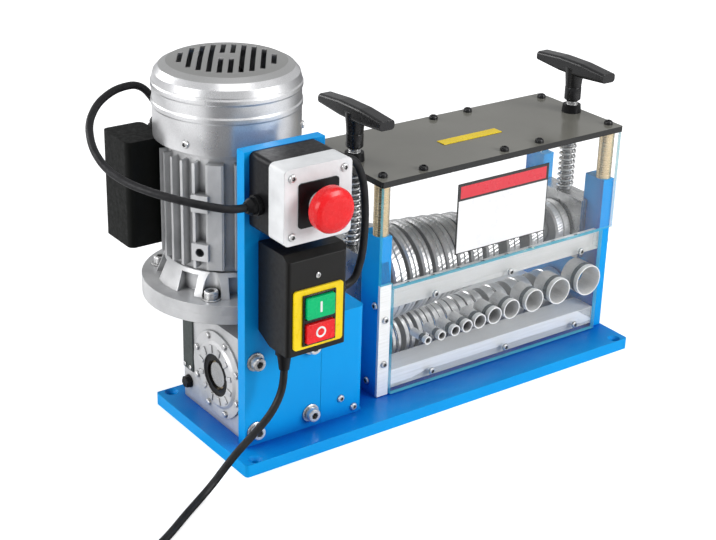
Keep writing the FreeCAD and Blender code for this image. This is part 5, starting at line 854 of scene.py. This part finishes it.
gear_face = low.x + COVER_THICK * MM
# Dark side plate with studs: it stands in for the shade on the back part of the gearbox's side.
plate_low = Vector((gear_face - PLATE_PROUD * MM, cover_middle.y + PLATE_NEAR * MM,
                    cover_middle.z + PLATE_BOTTOM * MM))
plate_high = Vector((gear_face + PLATE_SUNK * MM, cover_middle.y + PLATE_FAR * MM,
                     cover_middle.z + PLATE_TOP * MM))
form = bmesh.new()
add_slab(form, plate_low, plate_high)
soften(new_piece("side_plate", finish_mesh("side_plate", form), "machine", SHADE_PLATE),
       0.8)
form = bmesh.new()
for y in (plate_low.y + PLATE_STUD_INSET * MM, plate_high.y - PLATE_STUD_INSET * MM):
    for z in (plate_low.z + PLATE_STUD_INSET * MM, plate_high.z - PLATE_STUD_INSET * MM):
        add_lathe(form, PLATE_STUD, (plate_low.x, y, z), (-1, 0, 0), 20)
new_piece("plate_studs", finish_mesh("plate_studs", form), "machine", ZINC)
form = bmesh.new()
add_lathe(form, DRAIN_PLUG, (gear_face, cover_middle.y + PLUG_OUT * MM, cover_middle.z + PLUG_DOWN * MM),
          (-1, 0, 0), 36)
new_piece("drain_plug", finish_mesh("drain_plug", form), "machine", BLACK)

# Small fixings: one above the switch's keys, and a row along the upper bar's top.
SWITCH_SCREW, SWITCH_SCREW_UP = [(0, 2.6), (0.7, 2.6), (1.1, 1.9), (1.1, -1.2), (0.5, -1.1)], 72
BAR_FIXING = [(0, 2.3), (0.5, 2.3), (0.8, 1.8), (0.8, -1.1), (0.3, -1.0)]
BAR_TOP, BAR_FIXINGS, BAR_FIRST, BAR_STEP, BAR_IN = 123, 8, -26, 31, 7

low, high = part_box("switch_housing")
form = bmesh.new()
add_lathe(form, SWITCH_SCREW, ((low.x + high.x) / 2, low.y, low.z + SWITCH_SCREW_UP * MM), (0, -1, 0), 24)
new_piece("switch_screw", finish_mesh("switch_screw", form), "machine", STEEL)
low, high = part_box("aluminium_bars")
form = bmesh.new()
for k in range(BAR_FIXINGS):
    add_lathe(form, BAR_FIXING, ((BAR_FIRST + BAR_STEP * k) * MM, low.y + BAR_IN * MM, BAR_TOP * MM),
              (0, 0, 1), 20)
new_piece("bar_fixings", finish_mesh("bar_fixings", form), "machine", STEEL)

# Bare plaque on the top plate.
PLAQUE_X, PLAQUE_Y, PLAQUE_THICK = (45, 118), (5, 17), 0.8
top_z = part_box("top_plate")[1].z
form = bmesh.new()
add_slab(form, (PLAQUE_X[0] * MM, PLAQUE_Y[0] * MM, top_z),
         (PLAQUE_X[1] * MM, PLAQUE_Y[1] * MM, top_z + PLAQUE_THICK * MM))
soften(new_piece("plaque", finish_mesh("plaque", form), "machine", YELLOW), 0.3, 2)
